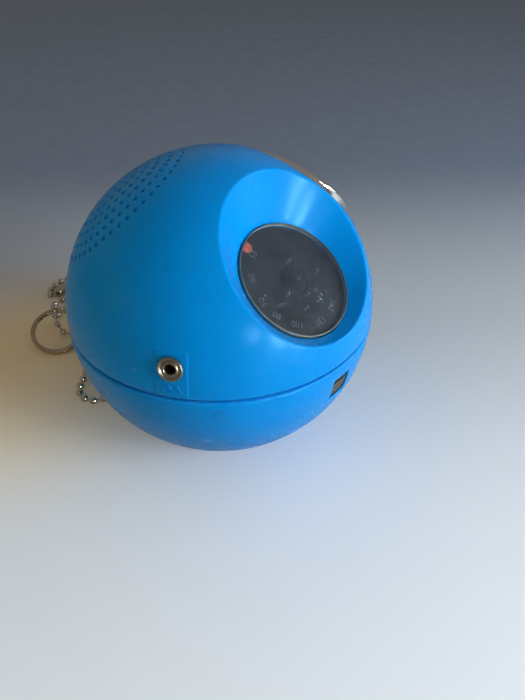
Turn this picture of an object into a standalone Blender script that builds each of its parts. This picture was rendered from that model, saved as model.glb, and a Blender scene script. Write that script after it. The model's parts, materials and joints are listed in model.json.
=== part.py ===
# Spherical pocket radio on a bead chain.
#
# A hollow ball of glossy plastic, split at its equator.  The upper half holds
# everything: two dished recesses with a tuning dial and a volume knob, a
# loudspeaker behind a field of small holes, an earphone socket, the circuit
# board and the battery.  The lower half lifts off for the battery; it carries
# the release catch and the eyelet of the bead chain.  The ball stands on a
# small flat foot.
#
# Frame: metres, +Z up, origin at the centre of the flat foot.  The front, -Y,
# is midway between the two recesses.  A direction on the ball is given by
# theta (0 = front, +90 = +X) and elevation above the equator, in degrees.
# Sizes are in millimetres.  Heights at a station on the ball are measured
# outward from the ball's centre; elsewhere inside the ball, z is measured
# from the equator.
import math
from bisect import bisect_right

import bmesh
import bpy
from mathutils import Matrix, Vector

MILLI = 0.001            # metres in a millimetre
WELD = 0.00001           # merge distance, metres
FAR = 80.0               # reach of cutting slabs, beyond the ball
CLEAR = 0.3              # clearance between neighbouring pieces

# ---------------------------------------------------------- main dimensions
BALL_R = 55.0            # outer radius of the ball
WALL = 2.5               # shell wall
FOOT_R = 15.0            # radius of the flat foot
FOOT_FLOOR = 2.4         # thickness of the floor above the foot
SEAM = 1.1               # width of the open groove at the equator
SHELL_SEGMENTS = 48
HOLLOW_SEGMENTS = 36

DIAL_DIRECTION = (-45.0, 51.0)      # theta, elevation
DIAL_SHIFT = -11.55      # recess axis below the line through the ball's centre
KNOB_DIRECTION = (45.0, 45.0)
KNOB_SHIFT = -6.6
SPEAKER_DIRECTION = (170.6, 50.3)
JACK_DIRECTION = (-106.8, 12.1)
CATCH_DIRECTION = (-45.0, -11.0)
EYE_DIRECTION = (150.0, -11.0)

DISH_SLOPE = 46.0        # half angle of the conical recesses, degrees
DISH_EDGE_R = 20.3       # radius where the cone meets the dial's straight well ...
DISH_EDGE_H = 38.4       # ... and its height above the ball's centre
DISH_OPEN_H = 75.0       # top of the recess cutters, beyond the ball
DISH_FLOOR_WALL = 2.2    # thickness of the recess floors
DIAL_FLOOR = 36.6        # outside of the dial's recess floor
KNOB_FLOOR = 40.0
KNOB_R = 22.0
KNOB_WELL_R = KNOB_R + 1.0
SHAFT_R = 3.0            # tuning and volume shafts

BOSS_R = 30.4            # pitch radius of the speaker's screw bosses
BOSS_FOOT = 40.0         # inner end of the bosses
BOSS_ANGLES = (60.0, 180.0, 300.0)

POST_R = 45.2            # pitch radius of the three board posts
POST_THETAS = (0.0, 115.0, -130.0)

JACK_BARREL_R = 3.1      # ferrule inside the shell
CATCH_W, CATCH_H = 7.6, 8.9
SPRING_SCREW_X = -13.0   # screw of the catch spring, from the catch's axis
EYE_WIRE_R = 0.6

CENTRE_Z = math.sqrt(BALL_R ** 2 - FOOT_R ** 2)
CENTRE = Vector((0.0, 0.0, CENTRE_Z))
SLOPE_TAN = math.tan(math.radians(DISH_SLOPE))
SLOPE_COS = math.cos(math.radians(DISH_SLOPE))

# ------------------------------------------------------------------- scene
for old in list(bpy.data.objects):
    bpy.data.objects.remove(old, do_unlink=True)
PARTS = bpy.data.collections.new("ball_radio")
CUTTERS = bpy.data.collections.new("cutters")
bpy.context.scene.collection.children.link(PARTS)
bpy.context.scene.collection.children.link(CUTTERS)


# --------------------------------------------------------------- materials
def material(name, colour, roughness, metallic=0.0, transmission=0.0):
    mat = bpy.data.materials.new(name)
    mat.use_nodes = True
    inputs = mat.node_tree.nodes["Principled BSDF"].inputs
    inputs["Base Color"].default_value = (*colour, 1.0)
    inputs["Roughness"].default_value = roughness
    inputs["Metallic"].default_value = metallic
    inputs["Transmission Weight"].default_value = transmission
    mat.diffuse_color = (*colour, 1.0)
    return mat


BLUE = material("blue_plastic", colour=(0.0, 0.21, 0.72), roughness=0.25)
ACRYLIC = material("clear_acrylic", colour=(0.8, 0.82, 0.78), roughness=0.2, transmission=0.9)
BLACK = material("black_plastic", colour=(0.02, 0.025, 0.03), roughness=0.5)
RED = material("red_paint", colour=(0.8, 0.05, 0.03), roughness=0.4)
CHROME = material("chrome", colour=(0.75, 0.75, 0.74), roughness=0.12, metallic=1.0)
NICKEL = material("nickel", colour=(0.62, 0.6, 0.55), roughness=0.25, metallic=1.0)
STEEL = material("steel", colour=(0.5, 0.5, 0.5), roughness=0.35, metallic=1.0)
BRASS = material("brass", colour=(0.7, 0.5, 0.2), roughness=0.35, metallic=1.0)
PAPER = material("cone_paper", colour=(0.08, 0.075, 0.07), roughness=0.9)
CLOTH = material("grille_cloth", colour=(0.03, 0.03, 0.035), roughness=0.95)
PHENOLIC = material("board_phenolic", colour=(0.42, 0.24, 0.1), roughness=0.6)
FERRITE = material("ferrite", colour=(0.06, 0.06, 0.065), roughness=0.6)
COPPER = material("copper_wire", colour=(0.6, 0.28, 0.14), roughness=0.4, metallic=1.0)
CREAM = material("cream_nylon", colour=(0.75, 0.72, 0.62), roughness=0.5)
SLEEVE = material("capacitor_sleeve", colour=(0.05, 0.12, 0.3), roughness=0.4)
LEAD_RED = material("red_lead", colour=(0.6, 0.03, 0.03), roughness=0.4)
LEAD_BLACK = material("black_lead", colour=(0.02, 0.02, 0.02), roughness=0.4)
JACKET = material("battery_jacket", colour=(0.25, 0.26, 0.28), roughness=0.4, metallic=0.3)


# ------------------------------------------------------------------ frames
def metres(*lengths):
    return Vector([length * MILLI for length in lengths])


def station(direction, up=0.0):
    """Frame whose local z is outward from the ball's centre and y is upward."""
    theta, elevation = (math.radians(angle) for angle in direction)
    sin_t, cos_t = math.sin(theta), math.cos(theta)
    sin_e, cos_e = math.sin(elevation), math.cos(elevation)
    across = Vector((cos_t, sin_t, 0.0))
    upward = Vector((-sin_e * sin_t, sin_e * cos_t, cos_e))
    outward = Vector((cos_e * sin_t, -cos_e * cos_t, sin_e))
    matrix = Matrix((across, upward, outward)).transposed().to_4x4()
    matrix.translation = (CENTRE + upward * up) * MILLI
    return matrix


def level(x=0.0, y=0.0, z=0.0):
    """Upright frame; z is measured from the equator."""
    return Matrix.Translation((CENTRE + Vector((x, y, z))) * MILLI)


def shift(x=0.0, y=0.0, z=0.0):
    return Matrix.Translation(metres(x, y, z))


def around(radius, angle):
    """Shift to a point at an angle (radians) round local z."""
    return shift(radius * math.cos(angle), radius * math.sin(angle))


def turn(degrees, axis):
    return Matrix.Rotation(math.radians(degrees), 4, axis)


# ------------------------------------------------------------ solid makers
def add(name, data, mat, matrix):
    """Link an object; one without a material is a hidden boolean helper."""
    piece = bpy.data.objects.new(name, data)
    (PARTS if mat else CUTTERS).objects.link(piece)
    piece.matrix_world = matrix
    if mat:
        data.materials.append(mat)
    else:
        piece.hide_render = True
        piece.display_type = 'WIRE'
    return piece


def to_mesh(name, build):
    mesh = bpy.data.meshes.new(name)
    build.to_mesh(mesh)
    build.free()
    return mesh


def smooth(mesh):
    mesh.shade_smooth()
    mesh.set_sharp_from_angle(angle=math.radians(35.0))


def turned(name, profile, steps, matrix, mat=None, closed=False):
    """Profile of (radius, z), turned about local z."""
    mesh = bpy.data.meshes.new(name)
    count = len(profile)
    edges = [(i, i + 1) for i in range(count - 1)]
    if closed:
        edges.append((count - 1, 0))
    mesh.from_pydata([metres(radius, 0, z) for radius, z in profile], edges, [])
    piece = add(name, mesh, mat, matrix)
    screw_mod = piece.modifiers.new("Screw", 'SCREW')
    screw_mod.axis = 'Z'
    screw_mod.steps = screw_mod.render_steps = steps
    screw_mod.use_merge_vertices = True
    screw_mod.merge_threshold = WELD
    screw_mod.use_smooth_shade = True
    return piece


def block(name, x, y, z, matrix, mat=None, bevel=0.0):
    """Box between (low, high) limits on each axis."""
    build = bmesh.new()
    size = Matrix.Diagonal((*metres(x[1] - x[0], y[1] - y[0], z[1] - z[0]), 1.0))
    middle = shift((x[0] + x[1]) / 2, (y[0] + y[1]) / 2, (z[0] + z[1]) / 2)
    bmesh.ops.create_cube(build, size=1.0, matrix=middle @ size)
    piece = add(name, to_mesh(name, build), mat, matrix)
    if bevel:
        bevel_mod = piece.modifiers.new("Bevel", 'BEVEL')
        bevel_mod.width = bevel * MILLI
        bevel_mod.segments = 1
    return piece


def slab(name, low, high):
    """Cutter wider than the ball between two levels from the equator."""
    return block(name, (-FAR, FAR), (-FAR, FAR), (low, high), ball_at)


def cylinder(build, radius, low, high, segments, matrix):
    bmesh.ops.create_cone(build, cap_ends=True, segments=segments, radius1=radius * MILLI,
                          radius2=radius * MILLI, depth=(high - low) * MILLI,
                          matrix=matrix @ shift(z=(low + high) / 2))


def rod(name, radius, span, segments, matrix, mat=None):
    """Cylinder on local z from span[0] to span[1]."""
    build = bmesh.new()
    cylinder(build, radius, *span, segments, Matrix())
    mesh = to_mesh(name, build)
    if segments > 8:
        smooth(mesh)
    return add(name, mesh, mat, matrix)


def drill_set(name, drills):
    """One cutter from several drills: (matrix, radius, low, high, segments)."""
    build = bmesh.new()
    for matrix, radius, low, high, segments in drills:
        cylinder(build, radius, low, high, segments, matrix)
    return add(name, to_mesh(name, build), None, Matrix())


def sphere(name, radius, segments, mat=None):
    """Sphere about the ball's centre."""
    build = bmesh.new()
    bmesh.ops.create_uvsphere(build, u_segments=segments, v_segments=segments // 2,
                              radius=radius * MILLI)
    mesh = to_mesh(name, build)
    smooth(mesh)
    return add(name, mesh, mat, ball_at)


def outline(name, points, half, matrix, mat):
    """Flat outline in local x-y, extruded by half to both sides."""
    curve = bpy.data.curves.new(name, 'CURVE')
    curve.dimensions = '2D'
    curve.fill_mode = 'BOTH'
    curve.extrude = half * MILLI
    spline = curve.splines.new('POLY')
    spline.points.add(len(points) - 1)
    for point, (x, y) in zip(spline.points, points):
        point.co = (x * MILLI, y * MILLI, 0.0, 1.0)
    spline.use_cyclic_u = True
    return add(name, curve, mat, matrix)


def meshed(source):
    """The curve as a mesh with welded caps, so that it can be cut."""
    bpy.context.view_layer.update()
    graph = bpy.context.evaluated_depsgraph_get()
    mesh = bpy.data.meshes.new_from_object(source.evaluated_get(graph))
    build = bmesh.new()
    build.from_mesh(mesh)
    bmesh.ops.remove_doubles(build, verts=build.verts, dist=WELD)
    build.to_mesh(mesh)
    build.free()
    name, world = source.name, source.matrix_world.copy()
    bpy.data.objects.remove(source, do_unlink=True)
    piece = bpy.data.objects.new(name, mesh)
    PARTS.objects.link(piece)
    piece.matrix_world = world
    return piece


def wire(name, points, radii, mat, resolution=1):
    """Round wire through points in the ground frame, with a radius at each point."""
    curve = bpy.data.curves.new(name, 'CURVE')
    curve.dimensions = '3D'
    curve.fill_mode = 'FULL'
    curve.bevel_depth = MILLI
    curve.bevel_resolution = resolution
    curve.resolution_u = 1
    curve.render_resolution_u = 0
    curve.use_fill_caps = True
    spline = curve.splines.new('POLY')
    spline.points.add(len(points) - 1)
    for point, place, radius in zip(spline.points, points, radii):
        point.co = (*(Vector(place) * MILLI), 1.0)
        point.radius = radius
    return add(name, curve, mat, Matrix())


def boolean(piece, other, operation='DIFFERENCE'):
    modifier = piece.modifiers.new(operation.title(), 'BOOLEAN')
    modifier.operation = operation
    modifier.solver = 'EXACT'
    modifier.object = other


def screw(name, head_r, head, shank_r, tip, matrix):
    """Pan head screw: the head spans head[0]..head[1], the shank goes on to tip."""
    low, high = head
    profile = [(0, tip), (shank_r, tip), (shank_r, high), (head_r, high), (head_r, low + 0.4),
               (head_r - 0.5, low), (0, low)]
    return turned(name, profile, 10, matrix, STEEL)


def moving_group(name, matrix, *children):
    """Empty on a moving group's axis, with its pieces parented in place."""
    pivot = bpy.data.objects.new(name, None)
    PARTS.objects.link(pivot)
    pivot.matrix_world = matrix
    pivot.empty_display_size = 0.01
    bpy.context.view_layer.update()
    for child in children:
        world = child.matrix_world.copy()
        child.parent = pivot
        child.matrix_parent_inverse = pivot.matrix_world.inverted()
        child.matrix_world = world


# ---------------------------------------------------------------- stations
dial_at = station(DIAL_DIRECTION, up=DIAL_SHIFT)
knob_at = station(KNOB_DIRECTION, up=KNOB_SHIFT)
speaker_at = station(SPEAKER_DIRECTION)
jack_at = station(JACK_DIRECTION)
catch_at = station(CATCH_DIRECTION)
spring_screw_at = catch_at @ shift(SPRING_SCREW_X)
eye_at = station(EYE_DIRECTION)
ball_at = level()
posts_at = [level(POST_R * math.sin(theta), -POST_R * math.cos(theta))
            for theta in map(math.radians, POST_THETAS)]
bosses_at = [speaker_at @ around(BOSS_R, math.radians(angle)) for angle in BOSS_ANGLES]


# ---------------------------------------------------------------- recesses
def cone_radius(height, grow=0.0):
    """Radius of a recess cone at a height, its surface moved outward by grow."""
    return DISH_EDGE_R + (height - DISH_EDGE_H) * SLOPE_TAN + grow / SLOPE_COS


def cone_height(radius, grow=0.0):
    """Height at which the same cone has a radius."""
    return DISH_EDGE_H + (radius - grow / SLOPE_COS - DISH_EDGE_R) / SLOPE_TAN


def dish(name, floor, well_r, steps, matrix, grow=0.0):
    """Cutter for a conical recess that ends in a straight well."""
    return turned(name, [
        (0, DISH_OPEN_H), (cone_radius(DISH_OPEN_H, grow), DISH_OPEN_H),
        (well_r, cone_height(well_r, grow)), (well_r, floor), (0, floor)], steps, matrix)


def dish_back(name, floor, well_r, matrix):
    """The same recess one wall thickness larger, to be kept out of the hollow."""
    return dish(name, floor - DISH_FLOOR_WALL, well_r + WALL, 32, matrix, grow=WALL)


# -------------------------------------------------------------- upper shell
GRILLE_HOLE_R = 0.72
GRILLE_PITCH = 3.33      # spacing of the holes along a ring
GRILLE_OUTER = 27.8      # angular radius of the outermost ring of holes, degrees
GRILLE_STEP = 4.14       # angle between rings
GRILLE_RINGS = 7


def grille_drills():
    drills = []
    for k in range(GRILLE_RINGS):
        ring_r = BALL_R * math.sin(math.radians(GRILLE_OUTER - GRILLE_STEP * k))
        count = round(2 * math.pi * ring_r / GRILLE_PITCH)
        for j in range(count):
            angle = 2 * math.pi * (j + 0.25 * k) / count
            drills.append((speaker_at @ around(ring_r, angle), GRILLE_HOLE_R, 44.6, 58.0, 4))
    return drills


upper = sphere("upper_shell", BALL_R, SHELL_SEGMENTS, BLUE)
boolean(upper, slab("cut_below_seam", -FAR, SEAM / 2))
boolean(upper, dish("cut_dial_dish", DIAL_FLOOR, DISH_EDGE_R, 40, dial_at))
boolean(upper, dish("cut_knob_dish", KNOB_FLOOR, KNOB_WELL_R, 40, knob_at))

# the hollow inside follows the ball and the backs of both recesses
upper_hollow = sphere("cut_upper_hollow", BALL_R - WALL, HOLLOW_SEGMENTS)
boolean(upper_hollow, dish_back("cut_dial_back", DIAL_FLOOR, DISH_EDGE_R, dial_at))
boolean(upper_hollow, dish_back("cut_knob_back", KNOB_FLOOR, KNOB_WELL_R, knob_at))
boolean(upper, upper_hollow)

# three posts for the board, three bosses for the speaker clamps
for i, post_at in enumerate(posts_at, 1):
    boolean(upper, rod(f"join_board_post_{i}", 2.5, (CLEAR, 26.0), 12, post_at), 'UNION')
for i, boss_at in enumerate(bosses_at, 1):
    boolean(upper, rod(f"join_speaker_boss_{i}", 2.2, (BOSS_FOOT, 43.6), 12, boss_at), 'UNION')

boolean(upper, drill_set("cut_grille_holes", grille_drills()))
boolean(upper, drill_set("cut_upper_holes", [
    (dial_at, 5.3, 30.0, 42.0, 16),
    (knob_at, 3.8, 33.0, 44.0, 16),
    (jack_at, JACK_BARREL_R + CLEAR, 49.0, 60.0, 16),
    *[(post_at, 1.25, -2.0, 8.0, 8) for post_at in posts_at],
    *[(boss_at, 1.2, 38.0, 42.6, 8) for boss_at in bosses_at]]))

# -------------------------------------------------------------- lower shell
LIP_R = 51.7             # outside of the locating lip inside the seam
LIP_INNER_R = 50.5
LIP_ROOT_R = 53.6        # where the lip runs into the shell wall
LIP_TOP = 2.6
LIP_PROFILE = [          # (radius, z from the equator)
    (LIP_R, LIP_TOP), (LIP_R, -0.6), (LIP_ROOT_R, -1.1), (LIP_ROOT_R, -4.0),
    (LIP_INNER_R, -5.8), (LIP_INNER_R, LIP_TOP)]

lower = sphere("lower_shell", BALL_R, SHELL_SEGMENTS, BLUE)
boolean(lower, slab("cut_above_seam", -SEAM / 2, FAR))
boolean(lower, slab("cut_foot", -FAR, -CENTRE_Z))
lower_hollow = sphere("cut_lower_hollow", BALL_R - WALL, HOLLOW_SEGMENTS)
boolean(lower_hollow, slab("cut_hollow_floor", -FAR, -CENTRE_Z + FOOT_FLOOR))
boolean(lower, lower_hollow)
boolean(lower, turned("join_lip", LIP_PROFILE, 40, ball_at, closed=True), 'UNION')
boolean(lower, rod("join_catch_boss", 2.4, (48.1, 50.9), 10, spring_screw_at), 'UNION')
boolean(lower, block("cut_catch_window", (-CATCH_W / 2 - CLEAR, CATCH_W / 2 + CLEAR),
                     (-CATCH_H / 2 - CLEAR, CATCH_H / 2 + CLEAR), (49.0, 60.0), catch_at))
boolean(lower, drill_set("cut_lower_holes", [
    (eye_at, EYE_WIRE_R + CLEAR, 48.0, 58.0, 10),
    (spring_screw_at, 1.1, 46.0, 50.4, 8)]))

# -------------------------------------------------------- dial and its plate
DIAL_R = 19.8            # clear dial
DIAL_FACE = 39.6
DIAL_THICK = 1.7
DIAL_BACK = DIAL_FACE - DIAL_THICK
DIAL_HUB_R = 4.9
DIAL_HUB_END = 34.9
DIAL_BORE_END = 37.2     # blind end of the bore for the shaft
TUNING_SHAFT_FOOT = 30.0
PLATE_R, PLATE_HOLE_R = 19.6, 5.5
PLATE_BACK = DIAL_FLOOR + CLEAR
PLATE_FACE = DIAL_FLOOR + 0.9
DOT_CLOCK = -24.6        # degrees clockwise from the top of the dial
DOT_PITCH_R = 17.2
DOT_R = 1.9

index_plate = turned("index_plate", [
    (PLATE_R, PLATE_FACE), (PLATE_R, PLATE_BACK), (PLATE_HOLE_R, PLATE_BACK),
    (PLATE_HOLE_R, PLATE_FACE)], 36, dial_at, BLACK, closed=True)
dot_at = dial_at @ around(DOT_PITCH_R, math.radians(90.0 - DOT_CLOCK))
boolean(index_plate, rod("cut_dot_pocket", DOT_R + 0.25, (30, 45), 16, dot_at))
index_dot = rod("index_dot", DOT_R, (PLATE_BACK, DIAL_FLOOR + 1.0), 16, dot_at, RED)

dial_disc = turned("dial_disc", [
    (0, DIAL_FACE), (DIAL_R - 0.5, DIAL_FACE), (DIAL_R, DIAL_FACE - 0.4), (DIAL_R, DIAL_BACK),
    (DIAL_HUB_R, DIAL_BACK), (DIAL_HUB_R, DIAL_HUB_END), (SHAFT_R + CLEAR, DIAL_HUB_END),
    (SHAFT_R + CLEAR, DIAL_BORE_END), (0, DIAL_BORE_END)], 32, dial_at, ACRYLIC)


def shaft(name, top, foot, matrix):
    return turned(name, [(0, top), (SHAFT_R, top), (SHAFT_R, foot), (0, foot)],
                  16, matrix, BRASS)


tuning_shaft = shaft("tuning_shaft", DIAL_BORE_END - CLEAR, TUNING_SHAFT_FOOT, dial_at)
tuning_capacitor = block("tuning_capacitor", (-10, 10), (-10, 10), (23.6, 33.9), dial_at, CREAM)
boolean(tuning_capacitor, drill_set("cut_capacitor_holes", [
    (dial_at, SHAFT_R + CLEAR, TUNING_SHAFT_FOOT - 0.4, 40.0, 16)]))
capacitor_bracket = block("capacitor_bracket", (-13.5, 13.5), (-6, 6), (21.7, 23.2),
                          dial_at, STEEL)

# --------------------------------------------------------------------- knob
KNOB_BOTTOM = 40.7
KNOB_SHOULDER = 52.2     # where the straight side ends
KNOB_DOME = 3.2          # height of the domed face above the shoulder
KNOB_INNER_R = KNOB_R - 1.5
HUB_R = 6.0
HUB_BOTTOM = KNOB_BOTTOM + 0.3
KNOB_BORE_END = 49.0
VOLUME_SHAFT_FOOT = 34.0

dome = [(KNOB_R * math.sin(angle), KNOB_SHOULDER + KNOB_DOME * math.cos(angle))
        for angle in map(math.radians, (0, 20, 40, 60, 75, 90))]
volume_knob = turned("volume_knob", dome + [
    (KNOB_R, KNOB_BOTTOM), (KNOB_INNER_R, KNOB_BOTTOM), (KNOB_INNER_R, KNOB_SHOULDER - 1.2),
    (HUB_R, KNOB_SHOULDER), (HUB_R, HUB_BOTTOM), (SHAFT_R + CLEAR, HUB_BOTTOM),
    (SHAFT_R + CLEAR, KNOB_BORE_END), (0, KNOB_BORE_END)], 32, knob_at, CHROME)
volume_shaft = shaft("volume_shaft", KNOB_BORE_END - CLEAR, VOLUME_SHAFT_FOOT, knob_at)
volume_control = turned("volume_control", [
    (0, 33.6), (SHAFT_R + CLEAR, 33.6), (SHAFT_R + CLEAR, 37.2), (8.5, 37.2), (8.5, 28.2),
    (0, 28.2)], 24, knob_at, STEEL)

# ------------------------------------------------------------------ speaker
# Profiles are (radius, height from the ball's centre).
SPEAKER_FRONT = 43.5     # front of the speaker's rim
SPEAKER_R = 27.5
FRAME_PROFILE = [
    (SPEAKER_R, SPEAKER_FRONT), (SPEAKER_R, 42.9), (25.7, 42.9), (15.5, 32.8), (15.5, 32.0),
    (8.8, 32.0), (8.8, 32.7), (14.9, 32.7), (14.9, 33.1), (24.9, 43.0), (24.9, SPEAKER_FRONT)]
MAGNET_PROFILE = [(0, 35.4), (6.8, 35.4), (6.8, 31.7), (14, 31.7), (14, 24.0), (0, 24.0)]
CONE_PROFILE = [
    (23.8, 43.4), (23.8, 42.9), (22.6, 42.6), (8.4, 37.2), (8.4, 34.4), (7.7, 34.4),
    (7.7, 37.7), (22.2, 43.2)]
CAP_PROFILE = [(0, 40.8), (4.5, 40.3), (8.6, 38.9), (8.6, 38.5), (4.4, 39.9), (0, 40.4)]

speaker_frame = turned("speaker_frame", FRAME_PROFILE, 24, speaker_at, STEEL, closed=True)
speaker_magnet = turned("speaker_magnet", MAGNET_PROFILE, 24, speaker_at, STEEL)
speaker_cone = turned("speaker_cone", CONE_PROFILE, 20, speaker_at, PAPER, closed=True)
dust_cap = turned("dust_cap", CAP_PROFILE, 14, speaker_at, PAPER)
grille_cloth = rod("grille_cloth", 26.0, (43.95, 44.25), 28, speaker_at, CLOTH)

# clamps: bent strips under the bosses that hold the speaker's rim
CLAMP_TOP = BOSS_FOOT - CLEAR
CLAMP_BOTTOM = CLAMP_TOP - 0.6
CLAMP_OUTLINE = [        # (distance from the speaker's axis, height)
    (32.0, CLAMP_TOP), (27.75, CLAMP_TOP), (27.75, 42.5), (27.05, 42.5),
    (27.05, CLAMP_BOTTOM), (32.0, CLAMP_BOTTOM)]
CLAMP_HALF_WIDTH = 3.0

clamps, clamp_screws = [], []
for i, boss_angle in enumerate(BOSS_ANGLES, 1):
    clamp_at = speaker_at @ turn(boss_angle, 'Z')
    clamp = meshed(outline(f"speaker_clamp_{i}", CLAMP_OUTLINE, CLAMP_HALF_WIDTH,
                           clamp_at @ turn(90, 'X'), STEEL))
    screw_at = clamp_at @ shift(BOSS_R)
    boolean(clamp, rod(f"cut_clamp_hole_{i}", 1.3, (38, 40.5), 8, screw_at))
    clamps.append(clamp)
    clamp_screws.append(screw(f"speaker_screw_{i}", head_r=2.2, head=(37.7, CLAMP_BOTTOM - CLEAR),
                              shank_r=0.9, tip=42.2, matrix=screw_at))

# -------------------------------------------------------------- circuit board
BOARD_TOP = 0.0
BOARD_BOTTOM = BOARD_TOP - 1.6
BOARD_R = 48.4
PART_BASE = BOARD_TOP + CLEAR       # underside of the parts on the board
TALL_TOP = PART_BASE + 11.5         # top of the cans and transformers
CAN_HALF = 5.0
ELECTROLYTIC_R = 4.0
ELECTROLYTIC_TOP = PART_BASE + 10.0
TRANSISTOR_PROFILE = [              # (radius, height above the base)
    (0, 5.6), (1.8, 5.2), (2.4, 4.2), (2.4, 0), (0, 0)]
# places on the board, (x, y)
CAN_PLACES = [(-28.0, 5.5), (-17.0, 2.0), (24.0, 5.0), (36.0, 3.0)]
ELECTROLYTIC_PLACES = [(28.0, -8.0), (38.0, -8.5)]
TRANSISTOR_PLACES = [(-16.0, 24.0), (-6.0, 26.0), (14.0, 27.0), (26.0, 24.0)]

board = rod("circuit_board", BOARD_R, (BOARD_BOTTOM, BOARD_TOP), 40, ball_at, PHENOLIC)
boolean(board, drill_set("cut_board_holes", [(post_at, 1.4, -4, 3, 8) for post_at in posts_at]))
board_screws = [screw(f"board_screw_{i}", head_r=2.4, head=(-3.1, BOARD_BOTTOM - CLEAR),
                      shank_r=0.95, tip=6.5, matrix=post_at)
                for i, post_at in enumerate(posts_at, 1)]

cans = [block(f"if_can_{i}", (x - CAN_HALF, x + CAN_HALF), (y - CAN_HALF, y + CAN_HALF),
              (PART_BASE, TALL_TOP), ball_at, STEEL)
        for i, (x, y) in enumerate(CAN_PLACES, 1)]


def transformer(name, x, y):
    """Laminated core with its winding standing proud on two sides."""
    core = block(name, (x - 7, x + 7), (y - 3, y + 3), (PART_BASE, TALL_TOP), ball_at, STEEL)
    winding = block("join_" + name, (x - 4, x + 4), (y - 6, y + 6),
                    (PART_BASE + 2, PART_BASE + 9.5), ball_at)
    boolean(core, winding, 'UNION')
    return core


def electrolytic(name, x, y):
    """Upright can capacitor with a chamfered top."""
    top = ELECTROLYTIC_TOP
    return turned(name, [
        (0, top), (ELECTROLYTIC_R - 0.6, top), (ELECTROLYTIC_R, top - 0.6),
        (ELECTROLYTIC_R, PART_BASE), (0, PART_BASE)], 14, level(x, y), SLEEVE)


driver_transformer = transformer("driver_transformer", 8.0, -7.0)
output_transformer = transformer("output_transformer", 2.0, -32.5)
electrolytics = [electrolytic(f"electrolytic_{i}", x, y)
                 for i, (x, y) in enumerate(ELECTROLYTIC_PLACES, 1)]
transistors = [turned(f"transistor_{i}",
                      [(radius, PART_BASE + height) for radius, height in TRANSISTOR_PROFILE],
                      10, level(x, y), BLACK)
               for i, (x, y) in enumerate(TRANSISTOR_PLACES, 1)]

# ------------------------------------------------------------ ferrite antenna
ROD_Y, ROD_Z = 36.0, 6.3
ROD_R, ROD_LENGTH = 4.0, 54.0
COIL_R = 5.4
COIL_ENDS = (-6.0, 10.0)            # along the rod, from its middle
HOLDER_HALF_X, HOLDER_HALF_Y = 1.5, 5.5
HOLDER_TOP = 9.0

rod_at = level(0, ROD_Y, ROD_Z) @ turn(90, 'Y')     # local z along x
ferrite_rod = rod("ferrite_rod", ROD_R, (-ROD_LENGTH / 2, ROD_LENGTH / 2), 18, rod_at, FERRITE)
antenna_coil = turned("antenna_coil", [
    (COIL_R, COIL_ENDS[1]), (COIL_R, COIL_ENDS[0]), (ROD_R + CLEAR, COIL_ENDS[0]),
    (ROD_R + CLEAR, COIL_ENDS[1])], 18, rod_at, COPPER, closed=True)
rod_holders = []
for i, x in enumerate((-22.0, 22.0), 1):
    holder = block(f"rod_holder_{i}", (x - HOLDER_HALF_X, x + HOLDER_HALF_X),
                   (ROD_Y - HOLDER_HALF_Y, ROD_Y + HOLDER_HALF_Y), (PART_BASE, HOLDER_TOP),
                   ball_at, CREAM)
    boolean(holder, rod(f"cut_holder_{i}", ROD_R + CLEAR, (x - 4, x + 4), 16, rod_at))
    rod_holders.append(holder)

# ------------------------------------------------------------- earphone jack
JACK_FLANGE_R = 4.0
JACK_BORE_R = 1.7
JACK_HALF = 4.2          # half the side of the square body
FERRULE_PROFILE = [      # (radius, height from the ball's centre)
    (JACK_FLANGE_R - 0.5, 56.3), (JACK_FLANGE_R, 55.9), (JACK_FLANGE_R, 55.3),
    (JACK_BARREL_R, 55.3), (JACK_BARREL_R, 51.8), (JACK_BORE_R, 51.8), (JACK_BORE_R, 55.8),
    (2.2, 56.3)]

earphone_jack = block("earphone_jack", (-JACK_HALF, JACK_HALF), (-JACK_HALF, JACK_HALF),
                      (40.0, 51.4), jack_at, BLACK)
boolean(earphone_jack, rod("cut_jack_socket", JACK_BORE_R, (42.0, 56.0), 12, jack_at))
jack_ferrule = turned("jack_ferrule", FERRULE_PROFILE, 18, jack_at, NICKEL, closed=True)

# ------------------------------------------------------------------ battery
BATTERY_LENGTH, BATTERY_WIDTH, BATTERY_HEIGHT = 48.5, 26.5, 17.5    # x, y, z
BATTERY_X = -28.0        # its -X end
BATTERY_END = BATTERY_X + BATTERY_LENGTH
BATTERY_TOP = -2.8
BATTERY_BOTTOM = BATTERY_TOP - BATTERY_HEIGHT
SNAP_X = BATTERY_END + CLEAR
SNAP_END = SNAP_X + 3.0

battery = block("battery", (BATTERY_X, BATTERY_END), (-BATTERY_WIDTH / 2, BATTERY_WIDTH / 2),
                (BATTERY_BOTTOM, BATTERY_TOP), ball_at, JACKET, bevel=1.5)
battery_snap = block("battery_snap", (SNAP_X, SNAP_END), (-12.0, 12.0),
                     (BATTERY_TOP - 15.5, BATTERY_TOP - 2.0), ball_at, BLACK, bevel=0.6)

# sheet metal clip over the top and sides of the battery, hooked beneath it
CLIP_THICK = 0.6
CLIP_HOOK = 1.6          # reach of the hooks
CLIP_X, CLIP_HALF_LENGTH = -5.0, 7.0
clip_in = BATTERY_WIDTH / 2 + CLEAR
clip_out = clip_in + CLIP_THICK
clip_hook = clip_in - CLIP_HOOK
clip_under = BATTERY_TOP + CLEAR
clip_top = clip_under + CLIP_THICK
clip_low = BATTERY_BOTTOM - CLEAR
clip_foot = clip_low - CLIP_THICK
CLIP_OUTLINE = [         # (y, z from the equator)
    (-clip_out, clip_top), (clip_out, clip_top), (clip_out, clip_foot), (clip_hook, clip_foot),
    (clip_hook, clip_low), (clip_in, clip_low), (clip_in, clip_under), (-clip_in, clip_under),
    (-clip_in, clip_low), (-clip_hook, clip_low), (-clip_hook, clip_foot), (-clip_out, clip_foot)]
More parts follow.
